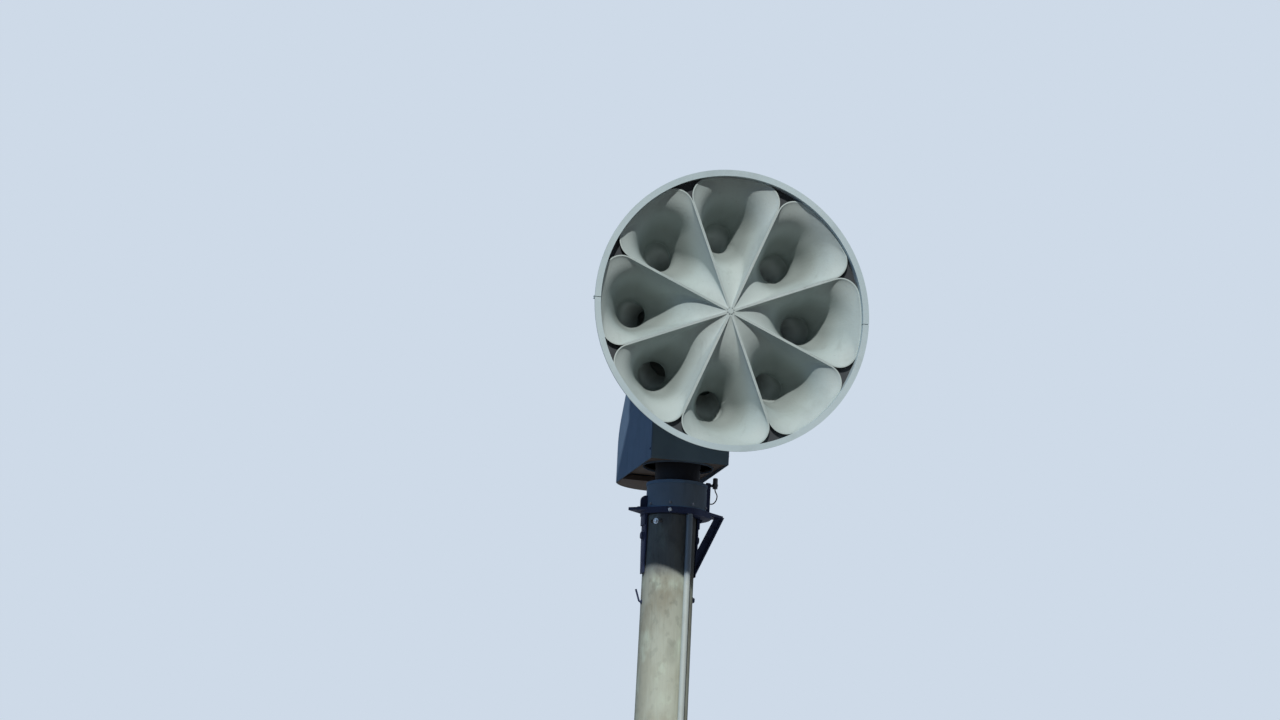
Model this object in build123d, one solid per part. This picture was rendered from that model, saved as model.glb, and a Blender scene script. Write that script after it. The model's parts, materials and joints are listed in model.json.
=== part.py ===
from build123d import *
import os
from math import asin, cos, hypot, radians, sin, sqrt, tan

# Civil defense siren tower, all lengths in millimetres, angles in degrees.
# +Z is up, the horn faces -Y at rest, and the origin is the centre of the pole at ground level.

# Wood pole
pole_height = 11706.0
pole_top_d = 216.0
pole_ground_d = 330.0
pole_top_chamfer = 6.0

# Siren head, carried on the pole
horn_axis_rise = 769.0          # horn axis above the pole's top
head_offset_x = 22.0            # turning axis to the right of the pole's axis
rim_reach = 712.0               # front of the rim ahead of the turning axis
piece_gap = 0.3                 # seat clearance between fitted pieces

# Rim ring round the petals
rim_radius = 600.0
rim_face_width = 26.0
rim_depth = 54.0
rim_wall = 5.0
rim_seam_gap = 3.0
rim_ear_thickness = 5.0
rim_ear_depth = 25.0
rim_ear_inset = 1.0
web_thickness = 4.0
web_reach = 115.0               # corner pieces in from the ring
web_half_angle = 12.0           # half of the angle that one corner piece spans

# Eight petal horns. Each section is a rounded wedge: depth behind the rim plane, wedge tip and
# nearest point out from the horn axis, outer edge in from the mouth's, half angle, corner radius.
petal_count = 8
petal_wall = 5.0
petal_mouth_depth = 22.0
petal_mouth_front = 13.3
petal_corner_radius = 80.0
petal_sections = (
    (44.0, 8.0, 84.0, 18.0, 22.2, 112.0),
    (78.0, 28.0, 158.0, 42.0, 21.6, 125.0),
    (144.0, 70.0, 220.0, 82.0, 20.6, 100.0),
    (218.0, 108.0, 264.0, 120.0, 18.6, 76.0),
    (303.0, 138.0, 289.0, 146.0, 16.6, 60.0),
)
port_depth = 441.0
port_section = (port_depth, 70.0, 150.0, 282.0, 18.0, 42.0)
hub_boss_length = 46.0
hub_boss_stand = 3.0            # ahead of the petals' edges
hub_boss_chamfer = 2.5

# Stator drum behind the horns
stator_rim = 13.0               # drum's radius beyond the ports
stator_wall = 6.0
stator_plate = 10.0
stator_edge_radius = 14.0

# Motor housing
housing_front = 538.0           # front panel behind the rim plane
housing_half_width = 171.0
housing_wall = 4.0
housing_rear = 1060.0           # where the flat sides end
housing_bulge = 120.0           # rear cover stands this much behind the sides
housing_base_front = 555.0      # bottom edge below the horn axis
housing_base_rear = 576.0
housing_shoulder = 360.0        # rear starts to lean forward here, below the horn axis
housing_top = 215.0             # above the horn axis
housing_top_length = 190.0
housing_shoulder_radius = 260.0
housing_crown_radius = 150.0
bottom_pan_rise = 6.0           # bottom pan above the front bottom edge
bottom_pan_opening_d = 292.0
rear_floor_length = 95.0        # floor of the rear cover, ahead of where the sides end
rear_floor_lip = 22.0

# Turntable and fixed collar
chassis_thickness = 10.0
chassis_rise = 34.0             # chassis plate above the front bottom edge
chassis_length = 470.0
neck_d = 190.0
neck_wall = 10.0
spindle_d = 90.0
bearing_clearance = 1.0
turn_gap = 8.0
collar_d = 255.0
collar_height = 117.0
collar_wall = 8.0

# Mounting iron at the pole's top
plate_thickness = 25.0
plate_arm_thickness = 12.0
plate_tip_span = 417.0
plate_round_d = 264.0
plate_tip_radius = 6.0
plate_boss_d = 300.0            # full thickness inside this circle only
gusset_thickness = 12.0
gusset_left_reach = 29.0
gusset_left_height = 57.0
gusset_left_round = 23.0
gusset_right_reach = 19.0
gusset_right_height = 137.0
gusset_right_round = 5.0
strap_thickness = 8.0
strap_width = 64.0
strap_height = 126.0
strap_pad_thickness = 5.0
strap_pad_height = 46.0
strap_bolt_drop = 90.0
strap_washer_thickness = 3.0
strap_nut_height = 7.0
brace_tip_inset = 4.0           # brace's top in from the arm's tip
brace_leg = 38.0
brace_wall = 6.0
brace_drop = 250.0
brace_foot_height = 94.0
brace_edge = 8.4                # level width of the sloping flange's edge
brace_offset_y = -16.0
nut_d = 32.0
washer_d = 44.0
seat_gap = 0.3
through_bolt_drop = 347.0
through_nut_d = 22.0
through_nut_height = 8.0
through_washer_d = 30.0
through_washer_thickness = 3.0
hook_bolt_drop = 374.0
hook_neck = 10.0
hook_lean = 17.0
hook_rise = 52.0
hook_bend_radius = 9.0
hook_rod_d = 8.0
hook_washer_d = 20.0
hook_washer_thickness = 3.0

# Cable gland and drip loop on the collar's right side
gland_d = 21.0
gland_height = 46.0
gland_out = 40.0                # gland axis out from the collar's side
gland_top_rise = 44.0           # gland's top above the collar's top
gland_edge_radius = 4.2
gland_nut_d = 26.0
gland_nut_height = 9.0
gland_nut_rise = 11.5
stub_d = 12.0
stub_drop = 34.0                # stub below the gland's top
cable_d = 5.0
cable_drop = 10.0               # straight run below the gland
cable_loop_out = 12.0           # loop's furthest reach beyond the gland's axis
cable_loop_back = 4.0           # loop's low bend, back past the gland's axis
cable_loop_depth = 67.0         # loop's lowest run below the gland
cable_upper_drop = 27.0         # loop's two outer bends below the gland
cable_lower_drop = 50.0
cable_bend_share = 0.45         # of the shorter run beside a bend

# Conduit down the pole
conduit_d = 26.7
conduit_angle = 24.0            # round the pole from the front towards the right
conduit_clearance = 4.0
coupling_d = 33.0
coupling_length = 45.0
conduit_strap_count = 8
conduit_strap_start = 0.2       # first strap's share of one spacing
conduit_strap_width = 24.0
conduit_strap_thickness = 2.5

# Control cabinet low on the pole
cabinet_width = 610.0
cabinet_height = 914.0
cabinet_depth = 290.0
cabinet_base = 1450.0
cabinet_wall = 3.0
cabinet_corner_radius = 6.0
door_thickness = 22.0
door_gap = 3.0
door_corner_radius = 8.0
door_panel_margin = 60.0
door_panel_rise = 4.0
hinge_count = 3
hinge_d = 14.0
hinge_length = 76.0
handle_d = 18.0
handle_reach = 26.0
handle_length = 120.0
handle_inset = 45.0
hood_overhang = 30.0
hood_thickness = 3.0
hood_rise = 40.0
hood_lip = 12.0
rail_width = 41.0
rail_depth = 41.0
rail_wall = 3.0
rail_length = 520.0
rail_inset = 150.0
rail_bolt_d = 16.0
rail_washer = 60.0
rail_washer_thickness = 6.0

# Derived places
axis_z = pole_height + horn_axis_rise
horn_front = Plane(origin=(head_offset_x, -rim_reach, axis_z), x_dir=(1, 0, 0), z_dir=(0, -1, 0))
petal_step = 360.0 / petal_count
rim_inner = rim_radius - rim_face_width
plate_top = pole_height + plate_thickness
collar_top = plate_top + collar_height
base_z = axis_z - housing_base_front


def depth_y(depth):
    """Y of a place this far behind the rim plane."""
    return depth - rim_reach


def pole_radius(z):
    """Radius of the tapered pole at a height."""
    return (pole_ground_d + (pole_top_d - pole_ground_d) * z / pole_height) / 2


def petal_profile(section, inset=0.0):
    """Rounded wedge across a horn, pointing at the horn axis, moved in by a wall."""
    depth, tip, front, outer_inset, half_angle, corner_radius = section
    h = radians(half_angle)
    apex = tip + inset / sin(h)
    reach = rim_inner - piece_gap - outer_inset - inset - apex
    corner_r = corner_radius - inset
    tip_r = (front - tip) / (1 / sin(h) - 1) - inset
    turn = asin(corner_r / (reach - corner_r))
    side_start = tip_r / tan(h)
    side_end = (reach - corner_r) * cos(turn)
    corner_angle = h - turn

    def point(angle, distance):
        return (sin(angle) * distance, apex + cos(angle) * distance)

    def left(place):
        return (-place[0], place[1])

    centre = point(corner_angle, reach - corner_r)
    middle = (cos(h) + sin(corner_angle), cos(corner_angle) - sin(h))
    size = hypot(*middle)
    bulge = (centre[0] + middle[0] / size * corner_r, centre[1] + middle[1] / size * corner_r)
    start = point(h, side_start)
    end = point(h, side_end)
    arc_end = point(corner_angle, reach)
    tip_front = (0, apex + tip_r / sin(h) - tip_r)
    edges = [
        ThreePointArc(left(start), tip_front, start),
        Line(start, end),
        ThreePointArc(end, bulge, arc_end),
        ThreePointArc(arc_end, (0, apex + reach), left(arc_end)),
        ThreePointArc(left(arc_end), left(bulge), left(end)),
        Line(left(end), left(start)),
    ]
    return Pos(0, 0, -depth) * make_face(edges)


def mouth_section():
    """Mouth of a petal, an even share of the circle less its part of the seat clearance."""
    half_angle = petal_step / 2
    tip = piece_gap / 2 / sin(radians(half_angle))
    return (petal_mouth_depth, tip, petal_mouth_front, 0.0, half_angle, petal_corner_radius)


def petal_body(inset):
    """Horn as a solid, from mouth to stator."""
    flare = loft([petal_profile(section, inset) for section in (mouth_section(), *petal_sections)])
    duct = loft([petal_profile(section, inset) for section in (petal_sections[-1], port_section)])
    return flare + duct


def make_petals():
    """Thin walled petal horns round the horn axis, the first one at twelve o'clock."""
    petal = petal_body(0) - petal_body(petal_wall)
    petals = {}
    for index in range(petal_count):
        turned = Rot(0, 0, -index * petal_step) * petal
        petals[f"petal_horn_{index + 1}"] = horn_front * turned
    return petals


def horn_ring(outer, inner, front, back):
    """Flat ring round the horn axis between two depths."""
    ring = Circle(outer) - Circle(inner)
    return Pos(0, 0, -back) * extrude(ring, back - front)


def make_rim():
    """Rolled angle ring in two halves, bolted together at three and nine o'clock."""
    ring = horn_ring(rim_radius, rim_inner, 0, rim_wall)
    ring += horn_ring(rim_inner + rim_wall, rim_inner, rim_wall, rim_depth)
    ear_length = rim_face_width - rim_wall / 2 - rim_ear_inset
    ear_x = rim_radius - rim_ear_inset - ear_length / 2
    span = 2 * rim_radius + rim_face_width
    halves = {}
    for name, side in (("rim_upper", 1), ("rim_lower", -1)):
        keep = Pos(0, side * (span + rim_seam_gap) / 2, -rim_depth / 2) * Box(span, span, 2 * rim_depth)
        half = ring & keep
        for hand in (-1, 1):
            ear_y = side * (rim_seam_gap + rim_ear_thickness) / 2
            ear = Box(ear_length, rim_ear_thickness, rim_ear_depth)
            half += Pos(hand * ear_x, ear_y, -rim_wall - rim_ear_depth / 2) * ear
        halves[name] = horn_front * half
    return halves


def make_web():
    """Dark pieces that close the corners between the petals and the rim."""
    section = petal_sections[0]
    depth = section[0]
    ring = horn_ring(rim_inner - piece_gap, rim_inner - web_reach, depth, depth + web_thickness)
    opening = extrude(petal_profile(section, -piece_gap), -web_thickness)
    turned = Rot(0, 0, petal_step) * opening
    side_x = 2 * rim_radius * sin(radians(web_half_angle))
    side_y = 2 * rim_radius * cos(radians(web_half_angle))
    wedge = make_face(Polyline((0, 0), (-side_x, side_y), (side_x, side_y), close=True))
    wedge = Rot(0, 0, petal_step / 2) * Pos(0, 0, -depth - web_thickness) * extrude(wedge, web_thickness)
    corner = (ring & wedge) - opening - turned
    return horn_front * Compound([Rot(0, 0, index * petal_step) * corner for index in range(petal_count)])


def make_hub_boss():
    """Round boss that joins the petal tips at the crossing."""
    radius = petal_mouth_front - piece_gap
    boss = extrude(Circle(radius), hub_boss_length)
    boss = chamfer(boss.edges().group_by(Axis.Z)[-1], hub_boss_chamfer)
    return horn_front * Pos(0, 0, hub_boss_stand - petal_mouth_depth - hub_boss_length) * boss


def make_stator():
    """Hollow drum that feeds the eight ports."""
    length = housing_front - port_depth
    stator_radius = rim_inner - piece_gap - port_section[3] + stator_rim
    drum = extrude(Circle(stator_radius), length)
    drum = fillet(drum.edges().group_by(Axis.Z)[-1], stator_edge_radius)
    room = extrude(Circle(stator_radius - stator_wall), length - 2 * stator_plate)
    drum -= Pos(0, 0, stator_plate) * room
    drum = Pos(0, 0, -housing_front) * drum
    port = extrude(petal_profile(port_section, petal_wall), -stator_plate)
    for index in range(petal_count):
        drum -= Rot(0, 0, index * petal_step) * port
    return horn_front * drum


def housing_path(start_z, end_depth):
    """Centre line of the rear and top cover's edge, in the plane through the turning axis."""
    shoulder = (head_offset_x, depth_y(housing_rear), axis_z - housing_shoulder)
    crown = (head_offset_x, depth_y(housing_front + housing_top_length), axis_z + housing_top)
    return FilletPolyline(
        (head_offset_x, depth_y(housing_rear), start_z),
        shoulder,
        crown,
        (head_offset_x, depth_y(end_depth), axis_z + housing_top),
        radius=[housing_shoulder_radius, housing_crown_radius],
    )


def bulge_radius():
    """Radius of the cover's arc across the housing."""
    return (housing_half_width**2 + housing_bulge**2) / (2 * housing_bulge)


def bulge_face(inset):
    """Segment of the cover's arc across the housing, chord on the X axis."""
    radius = bulge_radius()
    centre = housing_bulge - radius
    disc = Pos(0, centre) * Circle(radius - inset)
    return disc & (Pos(0, radius) * Rectangle(4 * radius, 2 * radius))


def make_hood():
    """Rear and top cover, one curved sheet."""
    rear_bottom = axis_z - housing_base_rear
    path = housing_path(rear_bottom, housing_front)
    band = bulge_face(0) - bulge_face(housing_wall)
    start = Plane(
        origin=(head_offset_x, depth_y(housing_rear), rear_bottom), x_dir=(-1, 0, 0), z_dir=(0, 0, 1)
    )
    section = start * Rot(0, 0, 180) * band
    return sweep(section, path=path)


def side_outline():
    """Flat side of the housing seen from +X."""
    rear_bottom = axis_z - housing_base_rear
    edge = housing_path(rear_bottom, housing_front)
    front_top = (head_offset_x, depth_y(housing_front), axis_z + housing_top)
    front_base = (head_offset_x, depth_y(housing_front), axis_z - housing_base_front)
    rear_base = (head_offset_x, depth_y(housing_rear), rear_bottom)
    return make_face([*edge.edges(), Line(front_top, front_base), Line(front_base, rear_base)])


def make_sides():
    """The two flat sides of the housing."""
    outline = side_outline()
    sides = {}
    for name, hand in (("housing_left", -1), ("housing_right", 1)):
        middle = hand * (housing_half_width - housing_wall / 2)
        panel = extrude(outline, housing_wall / 2, both=True)
        sides[name] = Pos(middle, 0, 0) * panel
    return sides


def make_housing_front():
    """Front panel behind the stator, with a round head under the cover."""
    inner_half = housing_half_width - housing_wall
    height = housing_top + housing_base_front
    plate = Pos(0, (housing_top - housing_base_front) / 2) * Rectangle(2 * inner_half, height)
    width = Pos(0, housing_bulge) * Rectangle(2 * inner_half, 2 * housing_bulge)
    head = Pos(0, housing_top) * (bulge_face(housing_wall) & width)
    panel = extrude(plate + head, housing_wall)
    return horn_front * Pos(0, 0, -housing_front - housing_wall) * panel


def floor_plan(front, rear_round):
    """Plan of a plate between the housing sides, with the rear cover's round behind if asked."""
    inner_half = housing_half_width - housing_wall
    rear = depth_y(housing_rear if rear_round else housing_rear - rear_floor_length - piece_gap)
    plan = Pos(head_offset_x, (front + rear) / 2) * Rectangle(2 * inner_half, rear - front)
    if rear_round:
        width = Pos(0, housing_bulge) * Rectangle(2 * inner_half, 2 * housing_bulge)
        plan += Pos(head_offset_x, rear) * (bulge_face(housing_wall) & width)
    return plan


def make_bottom_pan():
    """Recessed bottom plate with a round opening for the neck."""
    plan = floor_plan(depth_y(housing_front + housing_wall), False)
    plan -= Pos(head_offset_x, 0) * Circle(bottom_pan_opening_d / 2)
    return Pos(0, 0, base_z + bottom_pan_rise) * extrude(plan, housing_wall)


def make_rear_floor():
    """Floor of the rear cover, a step lower than the bottom pan, with a lip at its front."""
    front = depth_y(housing_rear - rear_floor_length)
    level = axis_z - housing_base_rear
    floor = extrude(floor_plan(front, True), housing_wall)
    lip = Pos(head_offset_x, front + housing_wall / 2, rear_floor_lip / 2) * Box(
        2 * (housing_half_width - housing_wall), housing_wall, rear_floor_lip
    )
    return Pos(0, 0, level) * (floor + lip)


def make_turntable():
    """Chassis plate, neck and spindle, which turn in the collar."""
    half = housing_half_width - housing_wall
    front = depth_y(housing_front + housing_wall)
    chassis_z = base_z + chassis_rise
    chassis = Pos(head_offset_x, front + chassis_length / 2, chassis_z + chassis_thickness / 2) * Box(
        2 * half, chassis_length, chassis_thickness
    )
    neck_bottom = collar_top + turn_gap
    neck_height = chassis_z - neck_bottom
    neck = extrude(Circle(neck_d / 2), neck_height)
    neck -= Pos(0, 0, neck_wall) * extrude(Circle(neck_d / 2 - neck_wall), neck_height - neck_wall)
    spindle_bottom = plate_top + collar_wall + turn_gap
    spindle = extrude(Circle(spindle_d / 2), neck_bottom - spindle_bottom)
    turning = Pos(head_offset_x, 0, neck_bottom) * neck
    turning += Pos(head_offset_x, 0, spindle_bottom) * spindle
    return chassis + turning


def make_collar():
    """Fixed collar drum with the bearing bore in its lid."""
    drum = extrude(Circle(collar_d / 2), collar_height)
    room = extrude(Circle(collar_d / 2 - collar_wall), collar_height - 2 * collar_wall)
    bore = extrude(Circle(spindle_d / 2 + bearing_clearance), collar_height)
    drum -= Pos(0, 0, collar_wall) * room
    drum -= Pos(0, 0, collar_height / 2) * bore
    return Pos(head_offset_x, 0, plate_top) * drum


def gusset_foot():
    """Distance of the ribs' inner faces from the collar's axis."""
    return sqrt((collar_d / 2) ** 2 - (gusset_thickness / 2) ** 2) + piece_gap


def make_gusset(hand, reach, height, top_round):
    """Upright rib between the collar's side and the plate."""
    rib = Rectangle(reach, height, align=(Align.MIN, Align.MIN))
    rib = fillet(rib.vertices().group_by(Axis.X)[-1].group_by(Axis.Y)[-1], top_round)
    solid = extrude(Plane.XZ * Pos(gusset_foot(), 0) * rib, gusset_thickness / 2, both=True)
    if hand < 0:
        solid = mirror(solid, Plane.YZ)
    return Pos(head_offset_x, 0, plate_top) * solid


def make_pole():
    """Tapered wood pole."""
    foot_up = (Align.CENTER, Align.CENTER, Align.MIN)
    pole = Cone(pole_ground_d / 2, pole_top_d / 2, pole_height, align=foot_up)
    return chamfer(pole.edges().group_by(Axis.Z)[-1], pole_top_chamfer)


def make_base_plate():
    """Round plate with a thinner pointed arm at each side, on the pole's top."""
    tip_centre = plate_tip_span / 2 - plate_tip_radius
    circles = [Circle(plate_round_d / 2)]
    for hand in (-1, 1):
        circles.append(Pos(hand * tip_centre, 0) * Circle(plate_tip_radius))
    outline = make_hull([edge for circle in circles for edge in circle.edges()])
    arms = Pos(0, 0, plate_thickness - plate_arm_thickness) * extrude(outline, plate_arm_thickness)
    boss = extrude(outline & Circle(plate_boss_d / 2), plate_thickness)
    return Pos(head_offset_x, 0, pole_height) * (arms + boss)


def strap_face():
    """Distance of the side straps' inner faces from the pole's axis."""
    return pole_radius(pole_height - strap_height) + piece_gap


def make_straps():
    """Side straps from the plate down the pole, each with a thicker head."""
    straps = {}
    for name, hand in (("side_strap_left", -1), ("side_strap_right", 1)):
        flat = Pos(strap_thickness / 2, 0) * Rectangle(strap_thickness, strap_width)
        pad_middle = strap_thickness + strap_pad_thickness / 2
        pad = Pos(pad_middle, 0) * Rectangle(strap_pad_thickness, strap_width)
        strap = Pos(strap_face(), 0, pole_height - strap_height) * extrude(flat, strap_height)
        strap += Pos(strap_face(), 0, pole_height - strap_pad_height) * extrude(pad, strap_pad_height)
        straps[name] = strap if hand > 0 else mirror(strap, Plane.YZ)
    return straps


def bolt_end(face, z, hand, nut, washer):
    """Nut over a washer at one end of a bolt that crosses the pole, each a width and a height."""
    end = extrude(Circle(washer[0] / 2), washer[1])
    end += Pos(0, 0, washer[1]) * extrude(RegularPolygon(nut[0] / 2, 6), nut[1])
    return Pos(hand * face, 0, z) * Rot(0, 90 * hand, 0) * end


def make_strap_bolt():
    """Both ends of the bolt through the straps and the pole."""
    z = pole_height - strap_bolt_drop
    face = strap_face() + strap_thickness + piece_gap
    nut = (nut_d, strap_nut_height)
    washer = (washer_d, strap_washer_thickness)
    return Compound([bolt_end(face, z, hand, nut, washer) for hand in (-1, 1)])


def make_brace():
    """Angle brace from the plate's right arm down to the pole."""
    top_z = plate_top - plate_arm_thickness
    top_outer = head_offset_x + plate_tip_span / 2 - brace_tip_inset
    top_inner = top_outer - brace_leg
    foot_z = pole_height - brace_drop
    foot_x = pole_radius(foot_z) + piece_gap
    outline = Polyline(
        (top_inner, top_z),
        (top_outer, top_z),
        (foot_x, foot_z),
        (foot_x, foot_z + brace_foot_height),
        close=True,
    )
    web = extrude(Plane.XZ * make_face(outline), brace_wall / 2, both=True)
    flange_outline = Polyline(
        (top_outer - brace_edge, top_z),
        (top_outer, top_z),
        (foot_x, foot_z),
        (foot_x, foot_z + 2 * brace_edge),
        close=True,
    )
    flange = extrude(Plane.XZ * make_face(flange_outline), brace_leg / 2, both=True)
    return Pos(0, brace_offset_y, 0) * (web + flange)


def make_through_bolt():
    """Small nut and washer at the right end of the lower bolt through the pole."""
    z = pole_height - through_bolt_drop
    nut = (through_nut_d, through_nut_height)
    return bolt_end(pole_radius(z) + seat_gap, z, 1, nut, (through_washer_d, through_washer_thickness))


def make_hook_bolt():
    """Thin bent hook at the left side of the pole."""
    z = pole_height - hook_bolt_drop
    face = pole_radius(z) + seat_gap
    start = (-face, 0, z)
    knee = (-face - hook_neck, 0, z)
    tip = (-face - hook_neck - hook_lean, 0, z + hook_rise)
    path = FilletPolyline(start, knee, tip, radius=hook_bend_radius)
    section = Plane(origin=start, z_dir=(-1, 0, 0)) * Circle(hook_rod_d / 2)
    washer = Pos(-face, 0, z) * Rot(0, -90, 0) * extrude(Circle(hook_washer_d / 2), hook_washer_thickness)
    return sweep(section, path=path) + washer


def rib_face():
    """X of the right rib's outer face."""
    return head_offset_x + gusset_foot() + gusset_right_reach


def gland_place():
    """Top of the gland's axis, beside the collar's right side."""
    return (head_offset_x + collar_d / 2 + gland_out, 0, collar_top + gland_top_rise)


def make_gland():
    """Cable gland on a short stub from the right rib."""
    x, y, z = gland_place()
    body = extrude(Circle(gland_d / 2), gland_height)
    body = fillet(body.edges().group_by(Axis.Z)[-1], gland_edge_radius)
    nut = Pos(0, 0, gland_nut_rise) * extrude(RegularPolygon(gland_nut_d / 2, 6), gland_nut_height)
    stub_start = rib_face() + piece_gap
    stub = Pos(stub_start, y, z - stub_drop) * Rot(0, 90, 0) * extrude(Circle(stub_d / 2), x - stub_start)
    return Pos(x, y, z - gland_height) * (body + nut) + stub


def drip_route():
    """Points of the cable from the gland round to the rib on the collar's side."""
    x, y, z = gland_place()
    bottom = z - gland_height
    rib = rib_face() + piece_gap
    low = bottom - cable_loop_depth
    low_bend = x - cable_loop_back
    return [
        (x, y, bottom),
        (x, y, bottom - cable_drop),
        (x + cable_loop_out, y, bottom - cable_upper_drop),
        (x + cable_loop_out - cable_loop_back, y, bottom - cable_lower_drop),
        (low_bend, y, low + cable_d / 2),
        ((low_bend + rib) / 2, y, low),
        (rib, y, low),
    ]


def route_radii(points):
    """Arc radius at each corner, as large as its two runs allow."""
    radii = []
    for before, corner, after in zip(points, points[1:], points[2:]):
        into = Vector(*corner) - Vector(*before)
        out = Vector(*after) - Vector(*corner)
        turn = radians(into.get_angle(out))
        radii.append(cable_bend_share * min(into.length, out.length) / tan(turn / 2))
    return radii


def make_drip_loop():
    """Thin cable that loops from the gland back to the collar."""
    points = drip_route()
    path = FilletPolyline(*points, radius=route_radii(points))
    section = Plane(origin=points[0], z_dir=path % 0) * Circle(cable_d / 2)
    return sweep(section, path=path)


def on_pole(angle, clearance, z):
    """Point beside the pole's surface at a height, round from the front to the right."""
    out = pole_radius(z) + clearance
    return Vector(sin(radians(angle)) * out, -cos(radians(angle)) * out, z)


def conduit_line():
    """Bottom and top of the conduit's axis."""
    clearance = conduit_d / 2 + conduit_clearance
    bottom = on_pole(conduit_angle, clearance, cabinet_base + cabinet_height + hood_rise)
    top = on_pole(conduit_angle, clearance, pole_height - piece_gap)
    return bottom, top


def rod(start, end, diameter):
    """Round bar between two points."""
    return Plane(origin=start, z_dir=end - start) * extrude(Circle(diameter / 2), (end - start).length)


def make_conduit():
    """Conduit in two lengths with a coupling over their joint."""
    bottom, top = conduit_line()
    middle = (bottom + top) * 0.5
    half_coupling = (top - bottom).normalized() * (coupling_length / 2)
    coupling = rod(middle - half_coupling, middle + half_coupling, coupling_d)
    coupling -= rod(middle - half_coupling, middle + half_coupling, conduit_d)
    return {
        "conduit_lower": rod(bottom, middle, conduit_d),
        "conduit_upper": rod(middle, top, conduit_d),
        "conduit_coupling": coupling,
    }


def make_conduit_straps():
    """Pipe straps that hold the conduit to the pole."""
    bottom, top = conduit_line()
    straps = []
    inner = conduit_d / 2 + piece_gap
    back = conduit_d / 2 + conduit_clearance - piece_gap
    ring = Circle(inner + conduit_strap_thickness)
    ring += Pos(0, back / 2) * Rectangle(conduit_d + 2 * conduit_strap_thickness, back)
    ring -= Circle(inner)
    band = extrude(ring, conduit_strap_width / 2, both=True)
    across = Vector(cos(radians(conduit_angle)), sin(radians(conduit_angle)), 0)
    for index in range(conduit_strap_count):
        share = (index + conduit_strap_start) / conduit_strap_count
        centre = bottom + (top - bottom) * share
        straps.append(Plane(origin=centre, x_dir=across, z_dir=top - bottom) * band)
    return Compound(straps)


def cabinet_back():
    """Y of the cabinet's back, ahead of the rails."""
    return -(pole_radius(cabinet_base) + piece_gap + rail_depth)


def make_cabinet_body():
    """Open box of the control cabinet, with the fixed hinge barrels on its left edge."""
    depth = cabinet_depth - door_thickness
    middle_y = cabinet_back() - depth / 2
    middle_z = cabinet_base + cabinet_height / 2
    shell = Box(cabinet_width, depth, cabinet_height)
    shell = fillet(shell.edges().filter_by(Axis.Z), cabinet_corner_radius)
    shell -= Pos(0, -cabinet_wall, 0) * Box(
        cabinet_width - 2 * cabinet_wall, depth, cabinet_height - 2 * cabinet_wall
    )
    barrel = Cylinder(hinge_d / 2, hinge_length)
    barrel_x = -cabinet_width / 2 - hinge_d / 2 + cabinet_wall / 2
    barrel_y = -depth / 2 + hinge_d / 2
    for index in range(hinge_count):
        share = (index + 0.5) / hinge_count - 0.5
        shell += Pos(barrel_x, barrel_y, share * cabinet_height) * barrel
    return Pos(0, middle_y, middle_z) * shell


def door_outline(margin):
    """Rounded rectangle this far in from the cabinet's edges."""
    return RectangleRounded(cabinet_width - 2 * margin, cabinet_height - 2 * margin, door_corner_radius)


def make_cabinet_door():
    """Door with rounded edges, a raised field and a lever handle."""
    face_y = cabinet_back() - cabinet_depth + door_thickness - piece_gap
    leaf = door_outline(door_gap)
    field = door_outline(door_panel_margin)
    door = extrude(leaf, door_thickness) + Pos(0, 0, door_thickness) * extrude(field, door_panel_rise)
    handle_x = cabinet_width / 2 - handle_inset
    door += Pos(handle_x, 0, door_thickness) * extrude(Circle(handle_d / 2), handle_reach)
    grip = Rot(0, 0, 90) * extrude(SlotOverall(handle_length, handle_d), handle_d / 2)
    door += Pos(handle_x, (handle_d - handle_length) / 2, door_thickness + handle_reach) * grip
    middle_z = cabinet_base + cabinet_height / 2
    return Plane(origin=(0, face_y, middle_z), x_dir=(1, 0, 0), z_dir=(0, -1, 0)) * door


def make_cabinet_hood():
    """Sloping rain hood over the cabinet."""
    back_y = cabinet_back()
    top_z = cabinet_base + cabinet_height
    front_y = back_y - cabinet_depth - hood_overhang
    profile = Polyline(
        (back_y, top_z),
        (back_y, top_z + hood_rise - piece_gap),
        (front_y, top_z + hood_lip),
        (front_y, top_z - hood_lip),
        (front_y + hood_thickness, top_z - hood_lip),
        (front_y + hood_thickness, top_z),
        close=True,
    )
    return extrude(Plane.YZ * make_face(profile), cabinet_width / 2 + hood_thickness, both=True)


def make_rails():
    """Channel rails between the cabinet and the pole, each with a bolt through the pole."""
    rails = {}
    back_y = cabinet_back()
    top_z = cabinet_base + cabinet_height - rail_inset
    for name, z in (("rail_lower", cabinet_base + rail_inset), ("rail_upper", top_z)):
        depth = -(pole_radius(z) + piece_gap) - back_y
        bar = Box(rail_length, depth, rail_width)
        bar -= Pos(0, rail_wall, 0) * Box(rail_length, depth, rail_width - 2 * rail_wall)
        rails[name] = Pos(0, back_y + depth / 2, z) * bar
    return rails


def make_rail_bolts():
    """Square washers and nuts behind the pole that hold the rails."""
    bolts = []
    for z in (cabinet_base + rail_inset, cabinet_base + cabinet_height - rail_inset):
        washer = extrude(Rectangle(rail_washer, rail_washer), rail_washer_thickness)
        nut = Pos(0, 0, rail_washer_thickness) * extrude(RegularPolygon(rail_bolt_d, 6), rail_bolt_d)
        end = Pos(0, 0, rail_washer_thickness + rail_bolt_d) * extrude(Circle(rail_bolt_d / 2), rail_bolt_d)
        place = Plane(origin=(0, pole_radius(z) + piece_gap, z), x_dir=(-1, 0, 0), z_dir=(0, 1, 0))
        bolts.append(place * (washer + nut + end))
    return Compound(bolts)


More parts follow.
